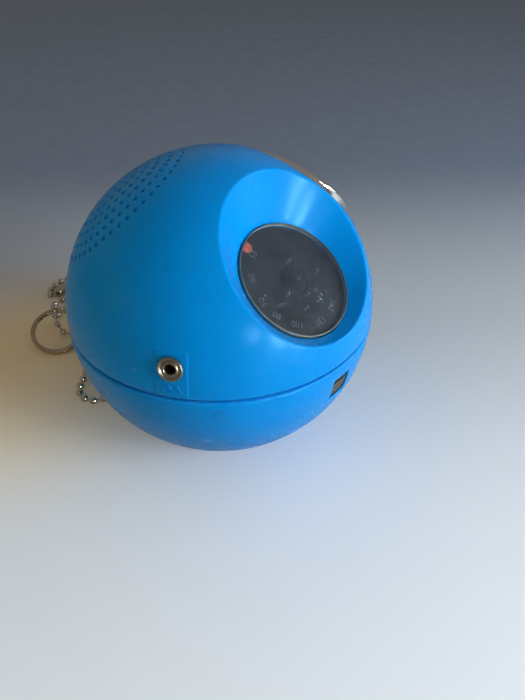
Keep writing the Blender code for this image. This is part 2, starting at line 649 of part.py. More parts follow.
# takes the outline's x-y to y-z and its extrusion to x
CLIP_TURN = Matrix(((0, 0, 1, 0), (1, 0, 0, 0), (0, 1, 0, 0), (0, 0, 0, 1)))
battery_clip = outline("battery_clip", CLIP_OUTLINE, CLIP_HALF_LENGTH,
                       level(CLIP_X) @ CLIP_TURN, STEEL)


# ------------------------------------------------------------ battery leads
def smooth_path(points, step=0.25):
    """Catmull-Rom curve through the points, as closely spaced samples."""
    knots = [Vector(point) for point in points]
    knots = [knots[0] * 2 - knots[1]] + knots + [knots[-1] * 2 - knots[-2]]
    samples = []
    for before, start, end, after in zip(knots, knots[1:], knots[2:], knots[3:]):
        count = max(2, int((end - start).length / step))
        for k in range(count):
            t = k / count
            samples.append(0.5 * (
                (2 * start) + (end - before) * t
                + (2 * before - 5 * start + 4 * end - after) * t * t
                + (3 * start - before - 3 * end + after) * t ** 3))
    samples.append(knots[-2])
    return samples


LEAD_R = 0.65
LEAD_X = SNAP_END + CLEAR
LEAD_POINTS = [          # (x from the snap, multiple of the lead's y, z)
    (0, 1.0, -9.0), (4, 1.0, -9.0), (9, 1.3, -10.5), (13, 1.6, -8.0), (14, 1.7, -2.4)]

leads = []
for name, lead_y, mat in (("battery_lead_red", 4.0, LEAD_RED),
                          ("battery_lead_black", -4.0, LEAD_BLACK)):
    path = smooth_path([CENTRE + Vector((LEAD_X + x, lead_y * spread, z))
                        for x, spread, z in LEAD_POINTS], step=2.0)
    leads.append(wire(name, path, [LEAD_R] * len(path), mat))

# -------------------------------------------------------------------- catch
catch_button = block("catch_button", (-CATCH_W / 2, CATCH_W / 2), (-CATCH_H / 2, CATCH_H / 2),
                     (50.0, 58.0), catch_at, STEEL)
# the button's face follows the ball, slightly sunk
boolean(catch_button, sphere("trim_catch_face", BALL_R - 0.35, SHELL_SEGMENTS), 'INTERSECT')
SPRING_BACK = 47.4
catch_spring = block("catch_spring", (-16.5, 4.5), (-3.0, 3.0), (SPRING_BACK, 47.8),
                     catch_at, STEEL)
boolean(catch_spring, rod("cut_spring_hole", 1.2, (45, 50), 8, spring_screw_at))
screw("catch_screw", head_r=2.2, head=(46.0, SPRING_BACK - CLEAR), shank_r=0.8, tip=50.0,
      matrix=spring_screw_at)

# ------------------------------------------------------------------- eyelet
EYE_LOOP_R = 2.4         # radius of the loop's centre line
EYE_REACH = 58.8         # distance of the loop's centre from the ball's centre
NUT_R = 2.4
NUT_SPAN = (50.5, 51.6)


def eye_point(up, out):
    """Point in the eyelet's upright plane, in mm in the ground frame."""
    return (eye_at @ metres(0, up, out)) / MILLI


eye_points = [eye_point(0, out) for out in (50.0, 53.5, EYE_REACH - EYE_LOOP_R - 0.15)]
for k in range(13):
    angle = math.radians(200 + 300 * k / 12.0)
    eye_points.append(eye_point(EYE_LOOP_R * math.sin(angle),
                                EYE_REACH + EYE_LOOP_R * math.cos(angle)))
wire("chain_eyelet", eye_points, [EYE_WIRE_R] * len(eye_points), NICKEL)
turned("eyelet_nut", [
    (NUT_R, NUT_SPAN[1]), (NUT_R, NUT_SPAN[0]), (EYE_WIRE_R + CLEAR, NUT_SPAN[0]),
    (EYE_WIRE_R + CLEAR, NUT_SPAN[1])], 6, eye_at, NICKEL, closed=True)

# -------------------------------------------------------------- bead chains
BEAD_R = 1.6
LINK_R = 0.5
BEAD_PITCH = 4.5
BEAD_PROFILE = (         # (distance along the chain from the bead's middle, radius)
    (-1.5, LINK_R), (-1.05, 1.2), (0.0, BEAD_R), (1.05, 1.2), (1.5, LINK_R))


def along(path):
    """Function giving the point at a distance along a path, and its length."""
    total = [0.0]
    for start, end in zip(path, path[1:]):
        total.append(total[-1] + (end - start).length)

    def point_at(distance):
        distance = min(max(distance, 0.0), total[-1])
        i = min(bisect_right(total, distance), len(total) - 1) - 1
        return path[i].lerp(path[i + 1], (distance - total[i]) / (total[i + 1] - total[i]))
    return point_at, total[-1]


def bead_chain(name, knots, first, lead=()):
    """One strand: a lead wire, then beads, the first at a distance along the path."""
    point_at, length = along(smooth_path(knots))
    points = list(lead)
    radii = [LINK_R] * len(points)
    count = int((length - first - BEAD_R) / BEAD_PITCH) + 1
    for k in range(count):
        for offset, radius in BEAD_PROFILE:
            points.append(point_at(first + k * BEAD_PITCH + offset))
            radii.append(radius)
    return wire(name, points, radii, NICKEL, resolution=0)


def resting(points):
    """Points of a path; those given as (x, y) lie one bead radius above the table."""
    return [Vector((*point, BEAD_R)[:3]) for point in points]


swing_axis = eye_point(0, EYE_REACH) + Vector((0, 0, -0.75))
seam_direction = eye_at.col[0].to_3d()      # horizontal, along the seam


def hanging(points):
    """Points given as (distance along the seam, height) from the swing axis."""
    return [swing_axis + seam_direction * across + Vector((0, 0, height))
            for across, height in points]


# the lead wire hooks through the eyelet
HOOK_POINTS = [(-1.7, -3.0), (-1.7, -1.2), (-0.9, 0.0), (0.9, 0.0), (1.7, -1.2), (1.7, -3.2)]
# the chain hangs from it, lies on the table and climbs through the key ring
DROP_POINTS = [(1.7, -3.4), (1.0, -8), (0.3, -20)]
TABLE_POINTS = [
    (28.6, 51.0, 14.0), (27.0, 51.2, 5.0), (22.5, 50.6), (15.0, 49.6), (8.5, 50.0),
    (4.9, 53.3), (5.0, 57.6), (8.0, 61.4), (12.0, 62.9), (16.6, 62.6), (25.2, 61.7),
    (36.0, 61.0), (45.0, 62.2), (51.0, 66.2), (53.0, 72.0), (53.6, 76.5, 2.0),
    (54.6, 79.0, 6.0), (55.8, 79.6, 10.6), (57.4, 79.9, 13.4), (59.6, 80.3, 14.3),
    (61.8, 80.6, 13.2), (63.2, 80.9, 10.4), (64.6, 81.2, 5.8), (66.4, 81.6, 2.6)]
chain_to_ball = bead_chain("chain_to_ball", hanging(DROP_POINTS) + resting(TABLE_POINTS),
                           first=2.0, lead=hanging(HOOK_POINTS))

FOLD_POINT = (68.0, 82.0)
LOOP_POINTS = [
    FOLD_POINT, (71.8, 82.9), (75.4, 82.0), (78.2, 78.2), (81.0, 73.0), (87.0, 69.2),
    (95.0, 69.6), (101.3, 74.6), (104.3, 82.5), (103.0, 85.6), (100.4, 87.9), (96.9, 89.9),
    (92.6, 90.8), (88.6, 90.0), (86.8, 87.9, 2.0)]
chain_loop = bead_chain("chain_loop", resting(LOOP_POINTS), first=2.1)

END_POINTS = [
    (97.4, 82.8, 2.2), (97.0, 79.2), (92.5, 77.8), (86.6, 80.0), (82.3, 83.9), (78.6, 85.2)]
chain_end = bead_chain("chain_end", resting(END_POINTS), first=1.7)

# open sleeve between the ends of the two strands
CONNECTOR_MIDDLE = (91.6, 85.0, 2.4)
CONNECTOR_DIRECTION = Vector((0.93, -0.36, 0.0)).normalized()
CONNECTOR_R, CONNECTOR_BORE_R = 2.2, 1.8
CONNECTOR_HALF = 3.9     # half its length
connector_at = CONNECTOR_DIRECTION.to_track_quat('Z', 'Y').to_matrix().to_4x4()
connector_at.translation = metres(*CONNECTOR_MIDDLE)
connector = turned("chain_connector", [
    (CONNECTOR_R, CONNECTOR_HALF), (CONNECTOR_R, -CONNECTOR_HALF),
    (CONNECTOR_BORE_R, -CONNECTOR_HALF), (CONNECTOR_BORE_R, CONNECTOR_HALF)],
    14, connector_at, NICKEL, closed=True)

# ----------------------------------------------------------------- key ring
# The ring hangs on the chain and its other side rests on the table.
KEYRING_R = 11.0         # centre line of the ring
KEYRING_WIRE = 1.2
KEYRING_HINGE = (59.3, 80.2, 10.7)  # point of the ring the chain passes
KEYRING_HEADING = 99.6   # direction from that point to the ring's other side, from +Y
KEYRING_TILT = -25.4     # degrees, downward from that point

hinge_at = shift(*KEYRING_HINGE)
ring_section = [(KEYRING_R + KEYRING_WIRE * math.sin(angle), KEYRING_WIRE * math.cos(angle))
                for angle in map(math.radians, range(0, 360, 60))]
key_ring = turned("key_ring", ring_section, 30,
                  hinge_at @ turn(KEYRING_HEADING, 'Z') @ turn(KEYRING_TILT, 'X')
                  @ shift(y=KEYRING_R), NICKEL, closed=True)

# ------------------------------------------------------------- moving groups
moving_group(
    "axis_lift", ball_at, upper, index_plate, index_dot, tuning_capacitor, capacitor_bracket,
    volume_control, speaker_frame, speaker_magnet, grille_cloth, board, driver_transformer,
    output_transformer, ferrite_rod, antenna_coil, earphone_jack, jack_ferrule, battery,
    battery_snap, battery_clip, *leads, *clamps, *clamp_screws, *board_screws, *cans,
    *electrolytics, *transistors, *rod_holders)
moving_group("axis_tuning", dial_at, dial_disc, tuning_shaft)
moving_group("axis_volume", knob_at, volume_knob, volume_shaft)
moving_group("axis_cone", speaker_at, speaker_cone, dust_cap)
moving_group("axis_catch", catch_at, catch_button)
moving_group("axis_chain", Matrix.Translation(swing_axis * MILLI), chain_to_ball)
moving_group("axis_ring", hinge_at, key_ring)
moving_group("axis_fold", shift(*FOLD_POINT, BEAD_R), chain_loop, chain_end, connector)
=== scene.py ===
"""Spherical pocket radio with its bead chain and key ring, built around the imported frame.

The ball stands on a small flat foot at the origin, +Z up, and splits into two shells at the
height of its centre. Lengths are in mm and are scaled to metres as each mesh is made.
"""

import bpy
import bmesh
import json
import math
from mathutils import Matrix, Vector, kdtree
from mathutils.geometry import delaunay_2d_cdt


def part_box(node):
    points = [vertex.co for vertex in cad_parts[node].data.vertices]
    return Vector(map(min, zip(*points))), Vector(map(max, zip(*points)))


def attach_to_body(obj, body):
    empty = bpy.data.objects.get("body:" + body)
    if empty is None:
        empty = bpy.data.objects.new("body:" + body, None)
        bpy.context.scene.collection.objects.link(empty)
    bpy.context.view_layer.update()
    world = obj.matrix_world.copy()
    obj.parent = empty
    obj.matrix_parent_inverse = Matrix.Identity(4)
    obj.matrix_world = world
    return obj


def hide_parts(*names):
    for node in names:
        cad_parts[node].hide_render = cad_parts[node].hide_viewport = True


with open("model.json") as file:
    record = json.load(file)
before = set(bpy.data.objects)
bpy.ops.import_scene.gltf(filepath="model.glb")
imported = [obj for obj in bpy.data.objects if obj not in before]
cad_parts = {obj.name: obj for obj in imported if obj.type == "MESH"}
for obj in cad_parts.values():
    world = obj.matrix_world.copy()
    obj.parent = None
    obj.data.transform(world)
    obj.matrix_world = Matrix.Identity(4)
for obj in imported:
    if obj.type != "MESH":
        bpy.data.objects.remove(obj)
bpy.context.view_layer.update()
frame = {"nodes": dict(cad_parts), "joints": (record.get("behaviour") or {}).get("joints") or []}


MM = 0.001
JOINTS = {joint["name"]: joint for joint in frame["joints"]}
SCENE = bpy.context.scene

# ---------------------------------------------------------------- the ball
box_low, box_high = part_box("upper_shell")
BALL_R = (box_high.y - box_low.y) / 2 / MM
if abs(BALL_R - 55.0) < 0.2:            # facets leave the box a little short of the true size
    BALL_R = 55.0
WALL = 2.5
INNER_R = BALL_R - WALL
FOOT_R = 15.0
CENTRE_Z = math.sqrt(BALL_R ** 2 - FOOT_R ** 2)
CENTRE = Vector((0, 0, CENTRE_Z))
SEAM = 0.55                             # half the gap between the shells
SEAM_EDGE = SEAM + 0.85                 # where the rounded seam edge meets the ball
SEAM_COUNT = 300
UPPER, LOWER = 1.0, -1.0


def joint_place(name):
    return Vector(JOINTS[name]["pos_m"]) / MM


def outward(turn, rise):
    """Direction turned about Z from -Y and raised from level, both in degrees."""
    t, e = math.radians(turn), math.radians(rise)
    return Vector((math.cos(e) * math.sin(t), -math.cos(e) * math.cos(t), math.sin(e)))


class Station:
    """Axes at the ball's centre: u level across, v uphill, n outward."""

    def __init__(self, axis):
        self.n = Vector(axis).normalized()
        self.u = Vector((0, 0, 1)).cross(self.n).normalized()
        self.v = self.n.cross(self.u)
        self.shift = 0.0                # along v, from the ball's centre to the axis

    def from_centre(self, x, y, h):
        return self.u * x + self.v * (y + self.shift) + self.n * h

    def world(self, x, y, h):
        return CENTRE + self.from_centre(x, y, h)

    def matrix(self, x=0.0, y=0.0):
        m = Matrix((self.u, self.v, self.n)).transposed().to_4x4()
        m.translation = self.world(x, y, 0.0) * MM
        return m

    def on_ball(self, x, y, radius):
        h = math.sqrt(max(radius ** 2 - x * x - (y + self.shift) ** 2, 0))
        return self.from_centre(x, y, h)


def turning_station(joint):
    station = Station(JOINTS[joint]["axis"])
    station.shift = (joint_place(joint) - CENTRE).dot(station.v)
    return station


EYE_TURN = 150.0
DIAL = turning_station("tuning_turn")
KNOB = turning_station("volume_turn")
SPEAKER = Station(JOINTS["cone_travel"]["axis"])
JACK = Station(outward(-106.8, 12.1))
CATCH = Station(-Vector(JOINTS["catch_press"]["axis"]))
EYE = Station(outward(EYE_TURN, -11.0))


# ----------------------------------------------------------- mesh building
def link(ob):
    SCENE.collection.objects.link(ob)
    return ob


def smooth_object(name, mesh, material, sharp_angle):
    mesh.shade_smooth()
    mesh.set_sharp_from_angle(angle=math.radians(sharp_angle))
    mesh.materials.append(material)
    return link(bpy.data.objects.new(name, mesh))


def mesh_object(name, verts, faces, material, sharp_angle, matrix=Matrix()):
    """Object from points in mm, with outward normals and no loose points."""
    mesh = bpy.data.meshes.new(name)
    mesh.from_pydata([v * MM for v in verts], [], faces)
    bm = bmesh.new()
    bm.from_mesh(mesh)
    loose = [v for v in bm.verts if not v.link_faces]
    bmesh.ops.delete(bm, geom=loose, context='VERTS')
    bmesh.ops.recalc_face_normals(bm, faces=bm.faces)
    bm.to_mesh(mesh)
    bm.free()
    mesh.transform(matrix)
    return smooth_object(name, mesh, material, sharp_angle)


def attach(ob, body, slot, *nodes):
    """Hangs a piece on a moving body and hides the frame nodes it stands in for."""
    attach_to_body(ob, body)
    if nodes:
        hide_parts(*nodes)


def unit_circle(count):
    angles = [2 * math.pi * k / count for k in range(count)]
    return [(math.cos(a), math.sin(a)) for a in angles]


def bezier(a, middle, b, u):
    return a * (1 - u) ** 2 + middle * 2 * u * (1 - u) + b * u * u


def bridge(faces, a, b):
    """Joins two closed rings of indices with quads."""
    n = len(a)
    for k in range(n):
        faces.append((a[k], a[(k + 1) % n], b[(k + 1) % n], b[k]))


class Shell:
    """Points from the ball's centre and faces, gathered into one closed mesh."""

    def __init__(self):
        self.verts, self.faces = [], []
        self.outer_holes, self.inner_holes = [], []

    def ring(self, points):
        first = len(self.verts)
        self.verts.extend(Vector(p) for p in points)
        return list(range(first, len(self.verts)))

    def rows(self, rings):
        ids = [self.ring(r) for r in rings]
        for a, b in zip(ids, ids[1:]):
            bridge(self.faces, a, b)
        return ids

    def through(self, rings):
        """An opening in the wall, its rings listed from the outer skin to the inner."""
        ids = self.rows(rings)
        self.outer_holes.append(ids[0])
        self.inner_holes.append(ids[-1])

    def drill(self, station, r, count, chamfer, x=0.0, y=0.0, relief=None):
        """A round hole through the wall, with a small broken edge."""
        self.through([circle(station, r + chamfer, count, BALL_R, x, y, 0.0, relief),
                      circle(station, r + chamfer * 0.35, count, BALL_R, x, y, chamfer * 0.3,
                             relief),
                      circle(station, r, count, BALL_R, x, y, chamfer, relief),
                      circle(station, r, count, INNER_R, x, y)])

    def fan(self, ring, centre):
        c = len(self.verts)
        self.verts.append(Vector(centre))
        for k in range(len(ring)):
            self.faces.append((ring[k], ring[(k + 1) % len(ring)], c))

    def spaced(self, loops, distance):
        """The points of the loops, each with the distance to keep from it."""
        return [(self.verts[i], distance) for loop in loops for i in loop]

    def patch(self, side, outer, holes, points):
        """Fills half the ball between the loops with triangles, on a flat projection."""
        def flat(p):
            d = p.normalized()
            k = 1.0 / (1.0 + side * d.z)
            return Vector((d.x * k, d.y * k))

        ids, loop_of, edges = [], {}, []
        for number, loop in enumerate([outer] + holes):
            base = len(ids)
            for k, i in enumerate(loop):
                ids.append(i)
                loop_of[i] = number
                edges.append((base + k, base + (k + 1) % len(loop)))
        ids += self.ring(points)
        result = delaunay_2d_cdt([flat(self.verts[i]) for i in ids], edges, [], 0, 1e-9, True)
        source = [origin[0] if origin else None for origin in result[3]]
        for face in result[2]:
            corners = [ids[source[k]] for k in face if source[k] is not None]
            if len(corners) < 3:
                continue
            owners = {loop_of.get(i, -1) for i in corners}
            if len(owners) == 1 and owners.pop() > 0:      # the triangle covers a hole
                continue
            self.faces.append(tuple(corners))

    def build(self, name, material, sharp_angle=32.0):
        verts = [CENTRE + p for p in self.verts]
        return mesh_object(name, verts, self.faces, material, sharp_angle)


def circle(station, r, count, radius, x0=0.0, y0=0.0, depth=0.0, relief=None):
    """Circle laid on a ball of this radius, then sunk by depth."""
    out = []
    for c, s in unit_circle(count):
        p = station.on_ball(x0 + r * c, y0 + r * s, radius)
        if relief:
            p = p * (1 + relief(p.normalized()) / radius)
        out.append(p - station.n * depth)
    return out


def level_rings(profile, count):
    """Level rings from (radius, height above the ball's centre)."""
    return [[Vector((c, s, 0)) * r + Vector((0, 0, z)) for c, s in unit_circle(count)]
            for r, z in profile]


def seam_edge(side):
    """Rounded outer edge at the seam, from the ball inward."""
    return [(math.sqrt(BALL_R ** 2 - SEAM_EDGE ** 2), side * SEAM_EDGE),
            (BALL_R - 0.1, side * (SEAM + 0.5)), (BALL_R - 0.28, side * (SEAM + 0.2)),
            (BALL_R - 0.55, side * (SEAM + 0.04)), (BALL_R - 0.8, side * SEAM)]


# ------------------------------------------- raised pad round the earphone socket
PAD_HALF_W, PAD_TOP, PAD_BOTTOM, PAD_RISE, PAD_SOFT = 5.2, 5.6, -10.6, 0.16, 0.35
# zone of close points round the pad: half width, bottom, top, spacing
ZONE_HALF_W, ZONE_BOTTOM, ZONE_TOP, ZONE_STEP = 6.6, -12.0, 7.0, 0.24


def flat_place(station, d):
    """Across and up in mm for a direction near the station, else None."""
    if d.dot(station.n) < 0.9:
        return None
    return d.dot(station.u) * BALL_R, d.dot(station.v) * BALL_R


def pad_relief(d):
    place = flat_place(JACK, d)
    if place is None:
        return 0.0
    x, y = place
    t = min(max(min(PAD_HALF_W - abs(x), PAD_TOP - y, y - PAD_BOTTOM) / PAD_SOFT, 0.0), 1.0)
    return PAD_RISE * t * t * (3 - 2 * t)


def near_pad(d):
    place = flat_place(JACK, d)
    return bool(place) and abs(place[0]) < ZONE_HALF_W and ZONE_BOTTOM < place[1] < ZONE_TOP


# ------------------------------------------------ spread of points over the skins
OUTER_SPACING, INNER_SPACING = 1.15, 2.2


def tree_of(points):
    tree = kdtree.KDTree(len(points))
    for i, p in enumerate(points):
        tree.insert(p, i)
    tree.balance()
    return tree


def field(radius, side, spacing, z_edge, clear, skips, pad):
    """Even points on half the ball; clear pairs points with the distance to keep from them."""
    tree = tree_of([p for p, _ in clear])
    points = []

    def offer(d, gap):
        _, index, distance = tree.find(d * radius)
        limit = clear[index][1]
        if limit <= 1.0:
            limit = min(limit, gap * 0.62)
        if distance < limit or any(test(d) for test in skips):
            return
        points.append(d * (radius + (pad_relief(d) if pad else 0.0)))

    rows = int(radius * math.pi / 2 / spacing)
    e0 = math.asin(z_edge / radius)
    for k in range(1, rows):
        el = e0 + (math.pi / 2 - e0) * k / rows
        count = max(1, round(2 * math.pi * math.cos(el) * radius / spacing))
        for j in range(count):
            a = 2 * math.pi * (j + 0.5 * (k % 2)) / count
            d = Vector((math.cos(el) * math.cos(a), math.cos(el) * math.sin(a),
                        side * math.sin(el)))
            if not (pad and near_pad(d)):
                offer(d, spacing)
    offer(Vector((0, 0, side)), spacing)
    if pad:
        for i in range(int(2 * ZONE_HALF_W / ZONE_STEP) + 1):
            for j in range(int((ZONE_TOP - ZONE_BOTTOM) / ZONE_STEP) + 1):
                x = -ZONE_HALF_W + i * ZONE_STEP + (ZONE_STEP / 2 if j % 2 else 0)
                y = ZONE_BOTTOM + j * ZONE_STEP
                h = math.sqrt(radius ** 2 - x * x - y * y)
                d = JACK.from_centre(x, y, h).normalized()
                if d.z * radius >= z_edge + ZONE_STEP * 0.6 and near_pad(d):
                    offer(d, ZONE_STEP)
    return points


def inside_loop(ring):
    """Test for a direction inside a loop, on a plane across the loop's mean direction."""
    mean = Vector()
    for p in ring:
        mean += p
    mean.normalize()
    e1 = mean.orthogonal().normalized()
    e2 = mean.cross(e1)
    polygon = []
    for p in ring:
        d = p.normalized()
        k = 1.0 / d.dot(mean)
        polygon.append((d.dot(e1) * k, d.dot(e2) * k))
    limit = min(p.normalized().dot(mean) for p in ring) - 0.02

    def test(d):
        c = d.dot(mean)
        if c < limit:
            return False
        x, y = d.dot(e1) / c, d.dot(e2) / c
        inside = False
        xj, yj = polygon[-1]
        for xi, yi in polygon:
            if (yi > y) != (yj > y) and x < (xj - xi) * (y - yi) / (yj - yi) + xi:
                inside = not inside
            xj, yj = xi, yi
        return inside
    return test


def inside_hole(station, radius, hole_r):
    def test(d):
        along_axis = d.dot(station.n)
        return along_axis > 0 and (d - station.n * along_axis).length * radius < hole_r
    return test


def fill_skins(shell, side, seam, clears, skips, inner_edge, pad=False):
    """Outer skin, then inner; clears and skips hold one list for each."""
    points = field(BALL_R, side, OUTER_SPACING, SEAM_EDGE, clears[0], skips[0], pad)
    shell.patch(side, seam[0], shell.outer_holes, points)
    points = field(INNER_R, side, INNER_SPACING, inner_edge, clears[1], skips[1], False)
    shell.patch(side, seam[-1], shell.inner_holes, points)


# ------------------------------------------------------------------ dishes
# Each dish is a round well that opens outward in a 46 degree cone.
CONE_ANGLE = math.radians(46.0)
CONE_SIN, CONE_COS, CONE_TAN = math.sin(CONE_ANGLE), math.cos(CONE_ANGLE), math.tan(CONE_ANGLE)
DIAL_WELL_R = 20.3
DISHES = (                              # station, floor height, well radius, shaft hole radius
    (DIAL, 36.6, DIAL_WELL_R, 5.3),
    (KNOB, 40.0, 23.0, 3.8))
DISH_COUNT = 240
FLOOR_THICK, DISH_WALL = 2.2, 1.2
RIM_FILLET = 0.75


def cone_height(r):
    return 38.4 + (r - DIAL_WELL_R) / CONE_TAN


def dish_outer_profile(floor, well_r, hole_r):
    """(radius, height) from the hole over the floor and up to the foot of the cone."""
    corner, lip = 0.45, 0.35
    edge_h = cone_height(well_r)
    profile = [(hole_r + (well_r - corner - hole_r) * t, floor) for t in (0.0, 0.25, 0.5, 0.75)]
    for degrees in (0, 30, 60, 90):
        a = math.radians(degrees)
        profile.append((well_r - corner + corner * math.sin(a),
                        floor + corner * (1 - math.cos(a))))
    profile.append((well_r, edge_h - lip * 1.6))
    base = (well_r + lip * CONE_SIN, edge_h + lip * CONE_COS)
    for u in (0.0, 0.33, 0.67):
        p = bezier(Vector((well_r, edge_h - lip)), Vector((well_r, edge_h)), Vector(base), u)
        profile.append((p.x, p.y))
    return profile + [base]


def dish_inner_profile(floor, well_r, hole_r):
    """The same dish seen from inside the shell, without the small rounds."""
    r = well_r + DISH_WALL
    low = floor - FLOOR_THICK
    return [(hole_r, low), ((hole_r + r) / 2, low), (r, low),
            (r, cone_height(r - DISH_WALL / CONE_COS))]


def dish_rings(station, profile, count, radius, steps, other_rim=None):
    """Rings of the profile and of the cone up to a ball of this radius.

    Given a tree of the other dish's rim, the rim is filleted, less where the two come close.
    """
    rings = [[station.from_centre(r * c, r * s, h) for c, s in unit_circle(count)]
             for r, h in profile]
    starts = rings[-1]
    rim, cone_end, ball_end = [], [], []
    for (c, s), start in zip(unit_circle(count), starts):
        radial = station.u * c + station.v * s
        slope = radial * CONE_SIN + station.n * CONE_COS
        b = start.dot(slope)
        point = start + slope * (-b + math.sqrt(b * b - (start.dot(start) - radius ** 2)))
        rim.append(point)
        if other_rim is None:
            continue
        wall_normal = radial * -CONE_COS + station.n * CONE_SIN
        normal = point.normalized()
        tangent = normal.cross(wall_normal).normalized()
        down = wall_normal.cross(tangent).normalized()
        if down.dot(slope) > 0:
            down = -down
        away = normal.cross(tangent).normalized()
        if away.dot(radial) < 0:
            away = -away
        fillet = min(RIM_FILLET, 0.4 * other_rim.find(point)[2])
        cone_end.append(point + down * fillet)
        ball_end.append((point + away * fillet).normalized() * radius)
    ends = rim if other_rim is None else cone_end
    for j in range(1, steps + 1):
        rings.append([a.lerp(b, j / steps) for a, b in zip(starts, ends)])
    if other_rim is not None:
        for u in (0.18, 0.36, 0.5, 0.64, 0.82):
            rings.append([bezier(a, p, b, u) for a, p, b in zip(cone_end, rim, ball_end)])
        rings.append(ball_end)
    return rings


# ------------------------------------------------------------- upper shell
GRILLE_HOLE_R, GRILLE_CHAMFER, GRILLE_PITCH, GRILLE_RINGS = 0.72, 0.22, 3.33, 7
GRILLE_OUTER, GRILLE_STEP = 27.8, 4.14  # degrees from the speaker's axis, and between rings
JACK_HOLE_R, JACK_CHAMFER, JACK_COUNT = 3.3, 0.3, 40


def grille_holes():
    for k in range(GRILLE_RINGS):
        r = BALL_R * math.sin(math.radians(GRILLE_OUTER - GRILLE_STEP * k))
        count = round(2 * math.pi * r / GRILLE_PITCH)
        for j in range(count):
            a = 2 * math.pi * (j + 0.25 * k) / count
            yield r * math.cos(a), r * math.sin(a)


def upper_shell():
    shell = Shell()
    seam = shell.rows(level_rings(seam_edge(UPPER) + [(INNER_R, SEAM)], SEAM_COUNT))
    rims = [tree_of(dish_rings(station, dish_outer_profile(*sizes), 440, BALL_R, 1)[-1])
            for station, *sizes in DISHES]
    skips = [], []
    for (station, *sizes), steps, other in zip(DISHES, (9, 7), reversed(rims)):
        outer = dish_rings(station, dish_outer_profile(*sizes), DISH_COUNT, BALL_R, steps, other)
        inner = dish_rings(station, dish_inner_profile(*sizes), DISH_COUNT, INNER_R, 5)
        outer_ids, inner_ids = shell.rows(outer), shell.rows(inner)
        bridge(shell.faces, outer_ids[0], inner_ids[0])
        shell.outer_holes.append(outer_ids[-1])
        shell.inner_holes.append(inner_ids[-1])
        skips[0].append(inside_loop(outer[-1]))
        skips[1].append(inside_loop(inner[-1]))
    clears = shell.spaced(shell.outer_holes, 0.62), shell.spaced(shell.inner_holes, 1.3)
    for x, y in grille_holes():
        shell.drill(SPEAKER, GRILLE_HOLE_R, 14, GRILLE_CHAMFER, x, y)
        clears[0].append((SPEAKER.on_ball(x, y, BALL_R), GRILLE_HOLE_R + GRILLE_CHAMFER + 0.34))
        clears[1].append((SPEAKER.on_ball(x, y, INNER_R), GRILLE_HOLE_R + 0.5))
    shell.drill(JACK, JACK_HOLE_R, JACK_COUNT, JACK_CHAMFER, relief=pad_relief)
    jack_edge = circle(JACK, JACK_HOLE_R + JACK_CHAMFER, JACK_COUNT, BALL_R)
    clears[0].extend((p, 0.25) for p in jack_edge)
    clears[0].extend(shell.spaced([seam[0]], 0.7))
    clears[1].extend(shell.spaced([seam[-1]], 1.0))
    skips[0].append(inside_hole(JACK, BALL_R, 3.75))
    skips[1].append(inside_hole(JACK, INNER_R, 3.7))
    fill_skins(shell, UPPER, seam, clears, skips, SEAM, pad=True)
    return shell.build("upper_shell_fine", BLUE)


# ------------------------------------------------------------- lower shell
WINDOW_HALF_W, WINDOW_HALF_H, WINDOW_CORNER = 4.1, 4.75, 0.9
LOWER_INNER_EDGE = 4.6                  # depth where the tongue's root meets the inner skin
TONGUE = [                              # (radius, height) over the tongue to the inner skin
    (52.0, -SEAM), (51.8, -SEAM + 0.08), (51.7, -SEAM + 0.3), (51.7, 2.2), (51.6, 2.45),
    (51.3, 2.6), (50.9, 2.6), (50.6, 2.45), (50.5, 2.2), (50.5, -4.0),
    (math.sqrt(INNER_R ** 2 - LOWER_INNER_EDGE ** 2), -LOWER_INNER_EDGE)]
FOOT_EDGE_R = 16.1
FOOT = [                                # (radius, height) from the ball over the flat foot
    (FOOT_EDGE_R, -math.sqrt(BALL_R ** 2 - FOOT_EDGE_R ** 2)), (15.6, -CENTRE_Z + 0.14),
    (15.1, -CENTRE_Z + 0.05), (14.6, -CENTRE_Z + 0.012), (14.0, -CENTRE_Z),
    (9.0, -CENTRE_Z), (4.0, -CENTRE_Z)]
FOOT_COUNT = 96
FOOT_THICK = 2.4


def window_ring(grow, depth, radius):
    """Rounded rectangle of the catch's window, its long sides cut to short steps."""
    cx, cy = WINDOW_HALF_W - WINDOW_CORNER, WINDOW_HALF_H - WINDOW_CORNER
    outline = []
    for x, y, start in ((cx, cy, 0), (-cx, cy, 90), (-cx, -cy, 180), (cx, -cy, 270)):
        for k in range(9):
            a = math.radians(start + 90 * k / 8)
            outline.append((x + (WINDOW_CORNER + grow) * math.cos(a),
                            y + (WINDOW_CORNER + grow) * math.sin(a)))
    out = []
    for p, q in zip(outline, outline[1:] + outline[:1]):
        count = max(1, int(math.dist(p, q) / 0.8))
        for t in range(count):
            x, y = (p[i] + (q[i] - p[i]) * t / count for i in (0, 1))
            out.append(CATCH.on_ball(x, y, radius) - CATCH.n * depth)
    return out


def inside_window(d):
    place = flat_place(CATCH, d)
    return (bool(place) and abs(place[0]) < WINDOW_HALF_W + 0.35
            and abs(place[1]) < WINDOW_HALF_H + 0.35)


def inside_foot(d):
    return d.z < 0 and math.hypot(d.x, d.y) * BALL_R < FOOT_EDGE_R + 0.1


